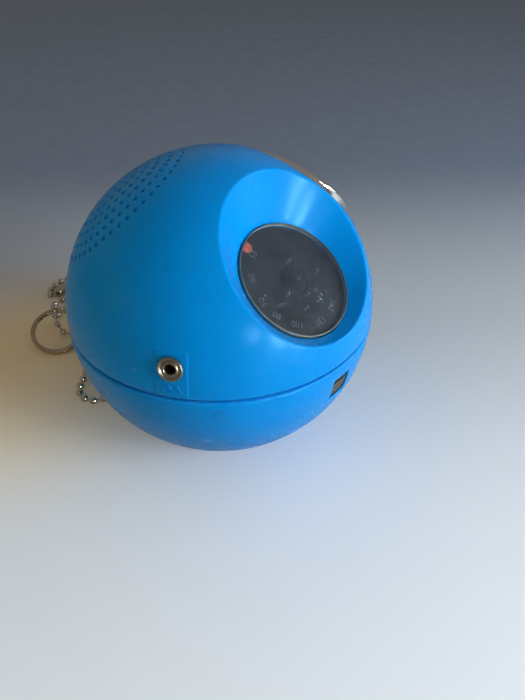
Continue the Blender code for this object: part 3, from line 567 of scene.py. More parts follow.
def lower_shell():
    shell = Shell()
    seam = shell.rows(level_rings(seam_edge(LOWER) + TONGUE, SEAM_COUNT))
    floor_z = -CENTRE_Z + FOOT_THICK
    floor_r = math.sqrt(INNER_R ** 2 - (CENTRE_Z - FOOT_THICK) ** 2)
    for profile, holes in ((FOOT, shell.outer_holes),
                           ([(floor_r, floor_z), (floor_r * 0.5, floor_z)], shell.inner_holes)):
        ids = shell.rows(level_rings(profile, FOOT_COUNT))
        shell.fan(ids[-1], (0, 0, profile[-1][1]))
        holes.append(ids[0])
    shell.through([window_ring(0.3, 0.0, BALL_R), window_ring(0.1, 0.09, BALL_R),
                   window_ring(0.0, 0.3, BALL_R), window_ring(0.0, 0.0, INNER_R)])
    shell.drill(EYE, 0.9, 16, 0.15)
    clears = (shell.spaced(shell.outer_holes, 0.6) + shell.spaced([seam[0]], 0.7),
              shell.spaced(shell.inner_holes, 1.0) + shell.spaced([seam[-1]], 1.0))
    skips = [inside_window, inside_hole(EYE, BALL_R, 1.1), inside_foot]
    fill_skins(shell, LOWER, seam, clears, (skips, skips), LOWER_INNER_EDGE)
    return shell.build("lower_shell_fine", BLUE)


# --------------------------------------------------------------- materials
class Mat:
    """Short hand for a procedural material in object coordinates, which are in metres."""

    def __init__(self, name, colour, rough, metal=0.0):
        self.material = bpy.data.materials.new(name)
        self.material.use_nodes = True
        self.tree = self.material.node_tree
        self.shader = self.tree.nodes["Principled BSDF"]
        self.set("Base Color", colour)
        self.set("Roughness", rough)
        self.set("Metallic", metal)
        self.place = self.node("TexCoord").outputs["Object"]

    def node(self, kind, **props):
        node = self.tree.nodes.new("ShaderNode" + kind)
        for key, value in props.items():
            setattr(node, key, value)
        return node

    def link(self, source, socket):
        self.tree.links.new(source, socket)

    def feed(self, socket, value):
        """Links a socket, or sets a number or an RGB colour."""
        if hasattr(value, "is_output"):
            self.link(value, socket)
        else:
            socket.default_value = (*value, 1.0) if isinstance(value, tuple) else value

    def set(self, name, value):
        self.feed(self.shader.inputs[name], value)

    def mapping(self, scale, turn=(0.0, 0.0, 0.0)):
        node = self.node("Mapping")
        node.inputs["Rotation"].default_value = turn
        node.inputs["Scale"].default_value = scale
        self.link(self.place, node.inputs["Vector"])
        return node.outputs["Vector"]

    def noise(self, scale, detail=3.0, rough=0.5, distort=0.0, vector=None):
        node = self.node("TexNoise")
        node.inputs["Scale"].default_value = scale
        node.inputs["Detail"].default_value = detail
        node.inputs["Roughness"].default_value = rough
        node.inputs["Distortion"].default_value = distort
        self.link(vector or self.place, node.inputs["Vector"])
        return node.outputs["Fac"]

    def cells(self, scale, feature='F1', random=1.0):
        node = self.node("TexVoronoi", feature=feature)
        node.inputs["Scale"].default_value = scale
        node.inputs["Randomness"].default_value = random
        self.link(self.place, node.inputs["Vector"])
        return node.outputs["Distance"]

    def ramp(self, value, span, to=(0.0, 1.0)):
        """Smooth step from to[0] to to[1] as the value crosses the span."""
        node = self.node("MapRange", interpolation_type='SMOOTHSTEP')
        self.link(value, node.inputs["Value"])
        for name, number in zip(("From Min", "From Max", "To Min", "To Max"), (*span, *to)):
            node.inputs[name].default_value = number
        return node.outputs["Result"]

    def cloud(self, scale, span, to=(0.0, 1.0), **noise):
        """Noise through a ramp."""
        return self.ramp(self.noise(scale, **noise), span, to)

    def math(self, operation, a, b=0.0, clamp=False):
        node = self.node("Math", operation=operation, use_clamp=clamp)
        self.feed(node.inputs[0], a)
        self.feed(node.inputs[1], b)
        return node.outputs[0]

    def plus(self, a, b, clamp=False):
        return self.math('ADD', a, b, clamp)

    def minus(self, a, b):
        return self.math('SUBTRACT', a, b)

    def times(self, a, b):
        return self.math('MULTIPLY', a, b)

    def most(self, a, b):
        return self.math('MAXIMUM', a, b)

    def mix(self, amount, a, b):
        node = self.node("Mix", data_type='RGBA')
        self.feed(node.inputs["Factor"], amount)
        self.feed(node.inputs[6], a)
        self.feed(node.inputs[7], b)
        return node.outputs[2]

    def vector(self, operation, a, b=None):
        node = self.node("VectorMath", operation=operation)
        self.link(a, node.inputs[0])
        if b is not None:
            node.inputs[1].default_value = tuple(b)
        scalar = operation in ('DISTANCE', 'DOT_PRODUCT', 'LENGTH')
        return node.outputs["Value" if scalar else "Vector"]

    def from_point(self, point):
        return self.vector('SUBTRACT', self.place, point * MM)

    def near(self, point, inner, outer):
        """1 within the inner distance of a point, 0 beyond the outer, all in mm."""
        distance = self.vector('DISTANCE', self.place, Vector(point) * MM)
        return self.ramp(distance, span=(inner * MM, outer * MM), to=(1.0, 0.0))

    def axis(self, i):
        node = self.node("SeparateXYZ")
        self.link(self.place, node.inputs[0])
        return node.outputs[i]

    def bump(self, height, strength, distance, under=None):
        """Surface relief, distance in mm, over an earlier bump if one is given."""
        node = self.node("Bump")
        node.inputs["Strength"].default_value = strength
        node.inputs["Distance"].default_value = distance * MM
        self.link(height, node.inputs["Height"])
        if under is not None:
            self.link(under, node.inputs["Normal"])
        self.link(node.outputs["Normal"], self.shader.inputs["Normal"])
        return node.outputs["Normal"]

    def scratches(self, density, turn, width, stretch):
        """Fine straight marks: stretched noise through a narrow threshold."""
        vector = self.mapping(tuple(density * k for k in stretch), turn)
        n = self.noise(1.0, detail=2.0, rough=0.4, distort=0.3, vector=vector)
        middle = self.math('ABSOLUTE', self.minus(n, 0.5))
        return self.ramp(middle, span=(0.0, width), to=(1.0, 0.0))


# point from the ball's centre, radius in mm, dark or pale, strength
SCUFFS = (
    ((-37.8, 15.2, 36.9), 1.5, True, 0.75), ((-44.4, 16.0, 28.2), 1.1, True, 0.55),
    ((-54.6, 3.5, -5.1), 4.2, True, 0.5), ((-50.6, 6.5, -20.5), 2.4, False, 0.4),
    ((20.0, 44.0, -24.0), 3.0, False, 0.4), ((45.0, 12.0, 28.0), 2.2, True, 0.4),
    ((-47.0, 27.0, 8.0), 1.6, False, 0.35), ((10.0, -50.0, -18.0), 3.0, True, 0.35))


def blue_plastic():
    """Glossy blue, with handling marks, specks, scuffs, and a seam band of rubbed wear and
    painted highlight.
    """
    m = Mat("blue_abs", colour=(0.0, 0.26, 0.72), rough=0.24)
    broad = m.cloud(24.0, span=(0.35, 0.7), rough=0.55)
    mottle = m.noise(160.0, detail=4.0, rough=0.6)
    colour = m.mix(broad, (0.0, 0.25, 0.68), (0.0, 0.28, 0.76))
    colour = m.mix(m.ramp(mottle, span=(0.3, 0.75), to=(0.0, 0.22)), colour, (0.0, 0.225, 0.62))
    # hairline handling marks, in three directions, patchy
    patch = m.cloud(38.0, span=(0.5, 0.68), detail=2.0)
    marks = m.most(
        m.scratches(density=180.0, turn=(0.3, 0.7, 0.2), width=0.007, stretch=(1, 9, 1)),
        m.scratches(density=150.0, turn=(1.2, 0.1, 0.9), width=0.007, stretch=(1, 1, 12)))
    marks = m.most(
        marks, m.scratches(density=210.0, turn=(2.0, 1.4, 0.3), width=0.006, stretch=(10, 1, 1)))
    marks = m.times(marks, patch)
    colour = m.mix(m.times(marks, 0.16), colour, (0.10, 0.42, 0.85))
    # dust specks
    speck = m.times(m.ramp(m.cells(420.0), span=(0.03, 0.07), to=(1.0, 0.0)),
                    m.cloud(55.0, span=(0.56, 0.66), detail=1.0))
    colour = m.mix(m.times(speck, 0.35), colour, (0.25, 0.5, 0.8))
    rough = m.plus(m.ramp(mottle, span=(0.3, 0.7), to=(0.2, 0.29)), m.times(marks, 0.22))
    for point, r, dark, amount in SCUFFS:
        blot = m.times(m.near(CENTRE + Vector(point), inner=r * 0.25, outer=r),
                       m.cloud(620.0 / r, span=(0.42, 0.58), rough=0.6))
        tint = (0.004, 0.07, 0.22) if dark else (0.14, 0.42, 0.8)
        colour = m.mix(m.times(blot, amount), colour, tint)
        rough = m.plus(rough, m.times(blot, 0.2))
    # pale band on the rounded seam edges: rubbed wear, and a painted highlight where the edges
    # catch light
    from_seam = m.math('ABSOLUTE', m.minus(m.axis(2), CENTRE_Z * MM))
    rubbed = m.times(m.ramp(from_seam, span=(0.0006, 0.00145), to=(1.0, 0.0)),
                     m.cloud(300.0, span=(0.38, 0.62), to=(0.15, 0.8)))
    m.set("Base Color", m.mix(m.times(rubbed, 0.35), colour, (0.05, 0.34, 0.82)))
    m.set("Roughness", rough)
    m.set("Specular IOR Level", 0.24)
    m.set("Specular Tint", (0.25, 0.65, 1.0))
    skin = m.bump(m.noise(520.0, detail=2.0), strength=0.05, distance=0.04)
    m.bump(marks, strength=0.12, distance=-0.02, under=skin)
    return m.material


def metal(name, colour, rough, tarnish, dull, grain, brushed=None):
    m = Mat(name, colour, rough, metal=1.0)
    spot = m.cloud(grain, span=(0.52, 0.72), to=(0.0, dull), detail=4.0, rough=0.6)
    m.set("Base Color", m.mix(spot, colour, tarnish))
    fine = m.noise(grain * 6, rough=0.6)
    m.set("Roughness", m.plus(m.ramp(fine, span=(0.3, 0.7), to=(rough * 0.8, rough * 1.3)),
                              m.times(spot, 0.4)))
    if brushed:
        line = m.noise(1.0, rough=0.6, vector=m.mapping(brushed))
        m.bump(line, strength=0.12, distance=0.02)
    else:
        m.bump(fine, strength=0.05, distance=0.02)
    return m.material


def plastic(name, colour, rough, grain, strength):
    m = Mat(name, colour, rough)
    n = m.noise(grain, rough=0.55)
    pale = tuple(min(1.0, c * 1.35 + 0.01) for c in colour)
    broad = m.cloud(grain / 12, span=(0.35, 0.7), to=(0.0, 0.6), detail=2.0)
    m.set("Base Color", m.mix(broad, colour, pale))
    m.set("Roughness", m.ramp(n, span=(0.3, 0.7), to=(rough * 0.85, min(1.0, rough * 1.2))))
    m.bump(n, strength, distance=0.03)
    return m.material


def cloth(name, colour, pitch):
    """Woven cloth: two crossed waves, pitch in mm."""
    m = Mat(name, colour, rough=0.9)
    waves = []
    for direction in ('X', 'Z'):
        wave = m.node("TexWave", wave_type='BANDS', bands_direction=direction)
        wave.inputs["Scale"].default_value = 0.05 / (pitch * MM) * 3.14
        m.link(m.place, wave.inputs["Vector"])
        waves.append(wave.outputs["Fac"])
    weave = m.times(*waves)
    m.set("Base Color", m.mix(weave, tuple(c * 0.4 for c in colour),
                              tuple(c * 1.6 for c in colour)))
    m.bump(weave, strength=0.5, distance=0.1)
    return m.material


def print_ink(name, colour):
    m = Mat(name, colour, rough=0.5)
    n = m.noise(900.0, rough=0.6)
    m.set("Base Color", m.mix(m.ramp(n, span=(0.35, 0.65)), tuple(c * 0.6 for c in colour),
                              colour))
    m.bump(n, strength=0.1, distance=0.02)
    return m.material


# name, colour, roughness, tarnish colour, tarnish amount, grain scale, brushing scale if any
METALS = (
    ("worn_nickel", (0.56, 0.48, 0.36), 0.18, (0.22, 0.15, 0.07), 0.45, 240.0),
    ("bead_nickel", (0.62, 0.58, 0.5), 0.12, (0.2, 0.15, 0.09), 0.4, 330.0),
    ("bright_chrome", (0.78, 0.78, 0.77), 0.07, (0.5, 0.48, 0.44), 0.25, 120.0),
    ("zinc_steel", (0.5, 0.5, 0.49), 0.32, (0.35, 0.31, 0.22), 0.4, 200.0),
    ("aged_ferrule", (0.34, 0.29, 0.22), 0.34, (0.2, 0.12, 0.06), 0.5, 300.0),
    ("ring_nickel", (0.56, 0.43, 0.26), 0.16, (0.2, 0.13, 0.06), 0.45, 260.0),
    ("turned_brass", (0.68, 0.48, 0.2), 0.28, (0.35, 0.22, 0.08), 0.4, 260.0),
    ("copper_winding", (0.55, 0.22, 0.09), 0.3, (0.3, 0.1, 0.04), 0.3, 500.0,
     (9000.0, 10.0, 10.0)))
# name, colour, roughness, grain scale, bump strength
PLASTICS = (
    ("black_moulding", (0.015, 0.016, 0.018), 0.42, 700.0, 0.12),
    ("cream_nylon", (0.66, 0.62, 0.5), 0.45, 700.0, 0.12),
    ("ferrite_grey", (0.035, 0.035, 0.038), 0.55, 1500.0, 0.4),
    ("blue_sleeve", (0.02, 0.06, 0.2), 0.3, 700.0, 0.12),
    ("red_pvc", (0.55, 0.02, 0.02), 0.35, 700.0, 0.12),
    ("black_pvc", (0.012, 0.012, 0.012), 0.35, 700.0, 0.12),
    ("black_paper_cone", (0.03, 0.028, 0.026), 0.85, 1400.0, 0.6))

BLUE = blue_plastic()
STOCK = {row[0]: metal(*row) for row in METALS}
STOCK.update({row[0]: plastic(*row) for row in PLASTICS})
STOCK["grille_weave"] = cloth("grille_weave", colour=(0.02, 0.02, 0.022), pitch=0.5)
NICKEL = STOCK["worn_nickel"]
BEAD_NICKEL = STOCK["bead_nickel"]
RED = print_ink("red_enamel", colour=(0.92, 0.18, 0.12))
INK = print_ink("grey_numerals", colour=(0.18, 0.21, 0.245))

DISC_TOP = 39.6
# marks on the dial window, mm from its centre: across, up, half sizes, turn in degrees, strength
WINDOW_MARKS = (
    (10.0, -1.9, 0.7, 0.3, 40, 0.6), (3.9, -6.6, 1.1, 0.5, -60, 0.55),
    (4.7, -8.8, 1.0, 0.55, -50, 0.7), (3.2, -9.9, 0.9, 0.4, -40, 1.0),
    (0.4, -6.3, 0.7, 0.4, -20, 0.75), (-3.2, -9.6, 0.6, 0.5, 0, 0.7),
    (5.3, -13.6, 0.7, 0.6, 0, 0.7), (-14.7, 0.6, 0.6, 0.5, 0, 0.7),
    (-6.3, -2.9, 1.3, 0.35, 40, 0.6), (2.3, 6.0, 1.5, 0.9, 10, 0.35),
    (-11.2, -4.4, 2.6, 0.5, -25, 0.4), (0.7, -0.7, 1.4, 0.5, 20, 0.4),
    (-11.3, 2.9, 0.6, 0.4, 30, 0.4), (-14.2, 6.9, 0.5, 0.4, 0, 0.3),
    (16.4, 5.8, 0.7, 0.5, 0, 0.3), (10.9, 14.8, 0.16, 2.0, 5, 0.8),
    (-4.5, -12.5, 0.12, 2.4, 62, 0.5), (6.8, 2.5, 0.1, 2.2, -48, 0.4),
    (-2.0, -14.0, 1.8, 0.14, 8, 0.45), (-9.0, 8.5, 0.1, 1.8, 25, 0.25))


def worn_clear():
    """Clear dial window, worn: a haze of wear and painted reflection, fine specks and short
    scratches.
    """
    m = Mat("worn_acrylic", colour=(0.10, 0.12, 0.14), rough=0.22)
    local = m.from_point(DIAL.world(0, 0, DISC_TOP))
    x, y = (m.vector('DOT_PRODUCT', local, axis / MM) for axis in (DIAL.u, DIAL.v))

    def blob(centre, half, turn):
        """Soft oval, 1 at its middle."""
        c, s = math.cos(math.radians(turn)), math.sin(math.radians(turn))
        dx, dy = m.minus(x, centre[0]), m.minus(y, centre[1])
        a = m.plus(m.times(dx, c / half[0]), m.times(dy, s / half[0]))
        b = m.plus(m.times(dx, -s / half[1]), m.times(dy, c / half[1]))
        return m.ramp(m.plus(m.times(a, a), m.times(b, b)), span=(0.0, 1.0), to=(1.0, 0.0))

    # haze, raised further by the worn patches: partly wear of the face, partly a painted
    # reflection
    haze = m.cloud(90.0, span=(0.35, 0.75), to=(0.04, 0.17), detail=4.0, rough=0.6, distort=0.8)
    worn = m.most(blob(centre=(2.5, -8.5), half=(9.0, 7.0), turn=-30),
                  m.times(blob(centre=(-8, -3), half=(9.0, 5.0), turn=0), 0.7))
    worn = m.times(worn, m.cloud(420.0, span=(0.42, 0.7), detail=4.0, rough=0.65, distort=0.5))
    haze = m.plus(haze, m.times(worn, 0.29))
    specks = m.times(m.ramp(m.cells(560.0), span=(0.05, 0.16), to=(1.0, 0.0)),
                     m.cloud(75.0, span=(0.52, 0.66), to=(0.0, 0.8), detail=2.0, rough=0.6))
    dense = m.most(blob(centre=(5.5, -5.0), half=(8.0, 10.0), turn=20),
                   m.times(blob(centre=(-7.0, -6.5), half=(7.0, 4.0), turn=10), 0.6))
    fine = m.times(m.ramp(m.cells(950.0), span=(0.08, 0.3), to=(1.0, 0.0)),
                   m.cloud(230.0, span=(0.5, 0.6), rough=0.6))
    marks = m.most(specks, m.times(m.times(fine, dense), 0.9))
    for across, up, half_w, half_h, turn, amount in WINDOW_MARKS:
        marks = m.most(marks, m.times(blob((across, up), (half_w, half_h), turn), amount))
    line = m.most(
        m.scratches(density=210.0, turn=(0.9, 0.2, 0.5), width=0.009, stretch=(1, 9, 1)),
        m.scratches(density=260.0, turn=(0.1, 1.3, 1.9), width=0.009, stretch=(9, 1, 1)))
    line = m.times(line, m.cloud(60.0, span=(0.45, 0.62), to=(0.05, 0.5), detail=2.0))
    marks = m.most(marks, line)
    m.set("Base Color", m.mix(marks, (0.085, 0.10, 0.118), (0.27, 0.33, 0.38)))
    m.set("Roughness", m.plus(m.cloud(300.0, span=(0.3, 0.7), to=(0.12, 0.22)),
                              m.times(marks, 0.3)))
    m.bump(marks, strength=0.12, distance=0.03)
    cover = m.plus(haze, m.times(marks, 0.55), clamp=True)
    m.set("Alpha", m.plus(m.times(cover, 0.9), 0.08, clamp=True))
    m.set("Specular IOR Level", 0.5)
    m.material.surface_render_method = 'BLENDED'
    return m.material


def edge_painted_glow():
    """Polished edge of the dial window, painted a pale cream that stands in for light caught in
    the clear edge.
    """
    # pale cream: painted glow of the light caught in the clear edge, with some random tone
    m = Mat("painted_glow_edge", colour=(0.42, 0.38, 0.27), rough=0.3)
    m.set("Base Color", m.mix(m.cloud(200.0, span=(0.35, 0.7), rough=0.6),
                              (0.27, 0.25, 0.19), (0.30, 0.32, 0.27)))
    m.set("Roughness", m.cloud(900.0, span=(0.3, 0.7), to=(0.5, 0.65), detail=2.0))
    m.set("Specular IOR Level", 0.2)
    m.bump(m.noise(900.0, detail=2.0), strength=0.1, distance=0.02)
    return m.material


def black_plate():
    m = Mat("dial_black", colour=(0.012, 0.015, 0.02), rough=0.5)
    m.set("Base Color", m.mix(m.cloud(70.0, span=(0.35, 0.7), rough=0.6),
                              (0.010, 0.013, 0.018), (0.026, 0.032, 0.042)))
    m.set("Roughness", m.cloud(800.0, span=(0.3, 0.7), to=(0.4, 0.6), detail=2.0))
    m.bump(m.noise(1200.0, detail=2.0), strength=0.1, distance=0.02)
    return m.material


def spun_chrome():
    """Bright metal with the fine rings left by turning it, and a few rubbed spots."""
    m = Mat("spun_chrome", colour=(0.8, 0.8, 0.79), rough=0.1, metal=1.0)
    local = m.from_point(KNOB.world(0, 0, 50))
    from_axis = m.vector('LENGTH', m.vector('CROSS_PRODUCT', local, KNOB.n))
    along_x = m.node("CombineXYZ")
    m.link(from_axis, along_x.inputs[0])
    rings = m.noise(5200.0, detail=2.0, rough=0.6, vector=along_x.outputs[0])
    worn = m.cloud(140.0, span=(0.55, 0.75), to=(0.0, 0.5), detail=4.0, rough=0.6)
    m.set("Base Color", m.mix(worn, (0.8, 0.8, 0.79), (0.55, 0.52, 0.46)))
    m.set("Roughness", m.plus(m.ramp(rings, span=(0.3, 0.7), to=(0.05, 0.14)),
                              m.times(worn, 0.3)))
    m.bump(rings, strength=0.06, distance=0.02)
    return m.material


def board_laminate():
    """Brown laminate, with copper tracks and solder joints on the lower side."""
    m = Mat("board_laminate", colour=(0.30, 0.17, 0.06), rough=0.45)
    base = m.mix(m.cloud(400.0, span=(0.3, 0.7), detail=4.0, rough=0.6),
                 (0.24, 0.13, 0.045), (0.34, 0.2, 0.08))
    track = m.ramp(m.cells(135.0, 'DISTANCE_TO_EDGE'), span=(0.11, 0.13))
    joint = m.ramp(m.cells(150.0, random=0.6), span=(0.2, 0.24), to=(1.0, 0.0))
    above = m.ramp(m.axis(2), span=((CENTRE_Z - 1.5) * MM, (CENTRE_Z - 1.3) * MM))
    below = m.minus(1.0, above)
    track = m.times(track, below)
    joint = m.times(joint, below)
    colour = m.mix(track, base, (0.42, 0.24, 0.07))
    m.set("Base Color", m.mix(joint, colour, (0.62, 0.62, 0.6)))
    m.set("Metallic", m.times(joint, 0.9))
    m.set("Roughness", m.cloud(700.0, span=(0.3, 0.7), to=(0.3, 0.45), detail=2.0))
    m.bump(m.plus(m.times(track, 0.4), joint), strength=0.5, distance=0.15)
    return m.material


def battery_jacket():
    """Dark metal jacket with a copper-coloured band towards +X and a pale line beside it."""
    m = Mat("battery_tin", colour=(0.05, 0.052, 0.055), rough=0.3, metal=0.6)
    x = m.axis(0)
    band = m.ramp(x, span=(0.0055, 0.0058))
    line = m.times(m.ramp(x, span=(0.0040, 0.0042)),
                   m.minus(1.0, m.ramp(x, span=(0.0050, 0.0052))))
    colour = m.mix(band, (0.045, 0.047, 0.05), (0.62, 0.36, 0.16))
    colour = m.mix(line, colour, (0.55, 0.55, 0.54))
    rub = m.cloud(220.0, span=(0.58, 0.72), detail=4.0, rough=0.65)
    m.set("Base Color", m.mix(m.times(rub, 0.5), colour, (0.4, 0.4, 0.4)))
    m.set("Metallic", m.plus(m.times(band, 0.4), 0.5, clamp=True))
    m.set("Roughness", m.cloud(600.0, span=(0.3, 0.7), to=(0.24, 0.42)))
    m.bump(m.noise(300.0), strength=0.06, distance=0.05)
    return m.material


def catch_metal():
    """Nickel pad of the catch, dark in its hollows."""
    m = Mat("catch_metal", colour=(0.12, 0.11, 0.09), rough=0.45, metal=1.0)
    deep = m.ramp(m.vector('LENGTH', m.from_point(CENTRE)), span=(0.0538, 0.0544), to=(1.0, 0.0))
    spot = m.cloud(420.0, span=(0.5, 0.7), to=(0.0, 0.6), detail=4.0, rough=0.6)
    colour = m.mix(spot, (0.15, 0.135, 0.11), (0.05, 0.042, 0.03))
    m.set("Base Color", m.mix(deep, colour, (0.02, 0.022, 0.026)))
    m.set("Roughness", m.cloud(900.0, span=(0.3, 0.7), to=(0.38, 0.52), detail=2.0))
    m.bump(m.noise(900.0, detail=2.0), strength=0.08, distance=0.02)
    return m.material


# ---------------------------------------------------- turned and swept shapes
def turned(name, profile, steps, matrix, material, closed=False, sharp_angle=30.0, wobble=None):
    """Turned piece from (radius, z); wobble(angle, r, z) changes the radius."""
    verts, faces, rings = [], [], []
    for r, z in profile:
        first = len(verts)
        if r < 1e-6:
            verts.append(Vector((0, 0, z)))
        else:
            for k in range(steps):
                a = 2 * math.pi * k / steps
                rr = r + (wobble(a, r, z) if wobble else 0.0)
                verts.append(Vector((rr * math.cos(a), rr * math.sin(a), z)))
        rings.append(list(range(first, len(verts))))
    for a, b in zip(rings, rings[1:] + (rings[:1] if closed else [])):
        for k in range(steps):
            k2 = (k + 1) % steps
            if len(a) == 1:
                faces.append((a[0], b[k], b[k2]))
            elif len(b) == 1:
                faces.append((a[k], b[0], a[k2]))
            else:
                faces.append((a[k], b[k], b[k2], a[k2]))
    return mesh_object(name, verts, faces, material, sharp_angle, matrix)


def sweep(name, points, radii, material, sides, closed=False):
    """Round tube through points, with one radius or a radius at each point."""
    verts, faces, rings = [], [], []
    n = len(points)
    up = None
    for i, p in enumerate(points):
        before = points[(i - 1) % n] if (closed or i) else p
        after = points[(i + 1) % n] if (closed or i < n - 1) else p
        d = (after - before).normalized()
        if up is None:
            up = d.orthogonal().normalized()
        up = (up - d * up.dot(d)).normalized()
        side = d.cross(up)
        r = radii[i] if isinstance(radii, list) else radii
        rings.append(list(range(len(verts), len(verts) + sides)))
        verts += [p + (up * c + side * s) * r for c, s in unit_circle(sides)]
    for a, b in zip(rings, rings[1:]):
        bridge(faces, a, b)
    if closed:
        a, b = rings[-1], rings[0]
        best = min(range(sides), key=lambda s: (verts[a[0]] - verts[b[s]]).length)
        bridge(faces, a, b[best:] + b[:best])
    else:
        faces += [tuple(reversed(rings[0])), tuple(rings[-1])]
    return mesh_object(name, verts, faces, material, 50)


def smooth_path(points, step=0.25):
    """Curve through the points, cut to short steps."""
    p = [Vector(q) for q in points]
    p = [p[0] * 2 - p[1]] + p + [p[-1] * 2 - p[-2]]
    out = []
    for a, b, c, d in zip(p, p[1:], p[2:], p[3:]):
        count = max(2, int((c - b).length / step))
        for k in range(count):
            t = k / count
            out.append(0.5 * ((2 * b) + (c - a) * t + (2 * a - 5 * b + 4 * c - d) * t * t
                              + (3 * b - a - 3 * c + d) * t ** 3))
    out.append(p[-2])
    return out


def smooth_profile(points, step):
    return [(max(p.x, 0.0), p.y) for p in smooth_path([(r, z, 0) for r, z in points], step)]


def along(path):
    """Function from distance along the path to a point, and the path's length."""
    total = [0.0]
    for a, b in zip(path, path[1:]):
        total.append(total[-1] + (b - a).length)

    def at(s):
        s = min(max(s, 0.0), total[-1])
        low, high = 0, len(total) - 1
        while high - low > 1:
            middle = (low + high) // 2
            if total[middle] <= s:
                low = middle
            else:
                high = middle
        part = (s - total[low]) / max(total[high] - total[low], 1e-9)
        return path[low].lerp(path[high], part)
    return at, total[-1]


# ------------------------------------------------------------------ shells
attach(upper_shell(), "upper_half", "blue_plastic", "upper_shell")
attach(lower_shell(), "lower_half", "blue_plastic", "lower_shell")

# -------------------------------------------------------------------- dial
PLATE_R = 19.5
NUMERAL_R, NUMERAL_SIZE, NUMERAL_H = 15.4, 3.1, 37.84
# numeral, degrees clockwise from uphill
SCALE = (("53", -29), ("60", -61), ("70", -92), ("80", -114), ("100", -142), ("130", -177),
         ("160", -209))


def dial_polar(point):
    """Height and radius about the dial's axis, of a point in metres."""
    p = point / MM - DIAL.world(0, 0, 0)
    h = p.dot(DIAL.n)
    return h, p - DIAL.n * h


def dial_window():
    """Clear disc with a rounded edge and a hub, its hub's underside black."""
    profile = [(r, DISC_TOP) for r in (0.0, 6.0, 12.0, 17.0, 19.2)] + [(19.5, DISC_TOP - 0.01)]
    for k in range(1, 7):
        a = math.radians(90 * k / 6)
        profile.append((19.5 + 0.48 * math.sin(a), DISC_TOP - 0.46 + 0.45 * math.cos(a)))
    profile += [(19.98, 38.2), (19.92, 38.0), (19.75, 37.92), (19.5, 37.9), (12.0, 37.9),
                (4.9, 37.9), (4.9, 34.95), (3.3, 34.95), (3.3, 37.2), (0.0, 37.2)]
    disc = turned("dial_window", profile, 160, DIAL.matrix(), worn_clear(), sharp_angle=40)
    disc.data.materials.append(edge_painted_glow())
    disc.data.materials.append(black_plate())
    for face in disc.data.polygons:
        h, flat = dial_polar(face.center)
        r = flat.length
        if r > 19.75 and h < 39.5:
            face.material_index = 1
        else:
            face.material_index = 2 if h < 37.88 and r < 6.0 else 0
    return disc


def index_mark():
    """Round mark on the plate, cut off at the plate's edge."""
    profile = [(0, 37.64), (1.3, 37.63), (1.7, 37.58), (1.95, 37.5), (2.0, 37.4), (2.0, 37.3),
               (0, 37.3)]
    mark = turned("index_mark", profile, 40, DIAL.matrix(-7.65, 16.7), RED)
    for vert in mark.data.vertices:
        h, flat = dial_polar(vert.co)
        if flat.length > PLATE_R:
            vert.co = (DIAL.world(0, 0, 0) + DIAL.n * h + flat.normalized() * PLATE_R) * MM
    return mark


def numeral_mesh(text):
    curve = bpy.data.curves.new("numeral", 'FONT')
    curve.body = text
    curve.size = NUMERAL_SIZE
    curve.extrude = 0.02
    curve.align_x, curve.align_y = 'CENTER', 'CENTER'
    ob = link(bpy.data.objects.new("numeral", curve))
    bpy.context.view_layer.update()
    graph = bpy.context.evaluated_depsgraph_get()
    mesh = bpy.data.meshes.new_from_object(ob.evaluated_get(graph))
    bpy.data.objects.remove(ob, do_unlink=True)
    return mesh


def dial_numerals():
    bm = bmesh.new()
    for text, clock in SCALE:
        a = math.radians(90.0 - clock)
        mesh = numeral_mesh(text)
        place = (NUMERAL_R * math.cos(a), NUMERAL_R * math.sin(a), NUMERAL_H)
        mesh.transform(Matrix.Translation(place) @ Matrix.Rotation(a - math.pi / 2, 4, 'Z'))
        bm.from_mesh(mesh)
    bmesh.ops.remove_doubles(bm, verts=bm.verts, dist=0.001)
    bmesh.ops.scale(bm, vec=(MM, MM, MM), verts=bm.verts)
    mesh = bpy.data.meshes.new("dial_numerals")
    bm.to_mesh(mesh)
    bm.free()
    mesh.transform(DIAL.matrix())
    mesh.materials.append(INK)
    return link(bpy.data.objects.new("dial_numerals", mesh))


PLATE_PROFILE = [                       # (radius, height), raised round the centre
    (4.98, 36.95), (4.98, 37.8), (5.02, 37.84), (7.5, 37.83), (10.0, 37.7), (12.5, 37.54),
    (13.2, 37.5), (19.45, 37.5), (19.6, 37.42), (19.6, 36.95), (19.5, 36.9), (5.02, 36.9)]
CENTRE_PROFILE = [(0, 37.86), (4.8, 37.86), (4.88, 37.84), (4.88, 37.8), (0, 37.8)]

attach(dial_window(), "dial", "clear_acrylic", "dial_disc")
plate = turned("dial_back_plate", PLATE_PROFILE, 128, DIAL.matrix(), black_plate(), closed=True)
attach(plate, "upper_half", "black_plastic", "index_plate")
attach(index_mark(), "upper_half", "red_paint", "index_dot")
attach(dial_numerals(), "dial", "clear_acrylic")
dial_centre = turned("dial_centre_paint", CENTRE_PROFILE, 72, DIAL.matrix(), black_plate())
attach(dial_centre, "dial", "black_plastic")

# -------------------------------------------------------------------- knob
FLUTES = 84
FLUTE_DEPTH = 0.28
FLUTE_LOW, FLUTE_HIGH = 42.0, 47.5


def flute(a, r, z):
    if r < 21.3 or z < FLUTE_LOW or z > FLUTE_HIGH:
        return 0.0
    fade = min(1.0, (z - FLUTE_LOW) / 0.5, (FLUTE_HIGH - z) / 0.5)
    return -FLUTE_DEPTH * fade * (0.5 - 0.5 * math.cos(a * FLUTES)) ** 1.5


def crown(r, base, rise):
    """Height of the domed face."""
    return base + rise * math.sqrt(1 - (r / 22.0) ** 2)


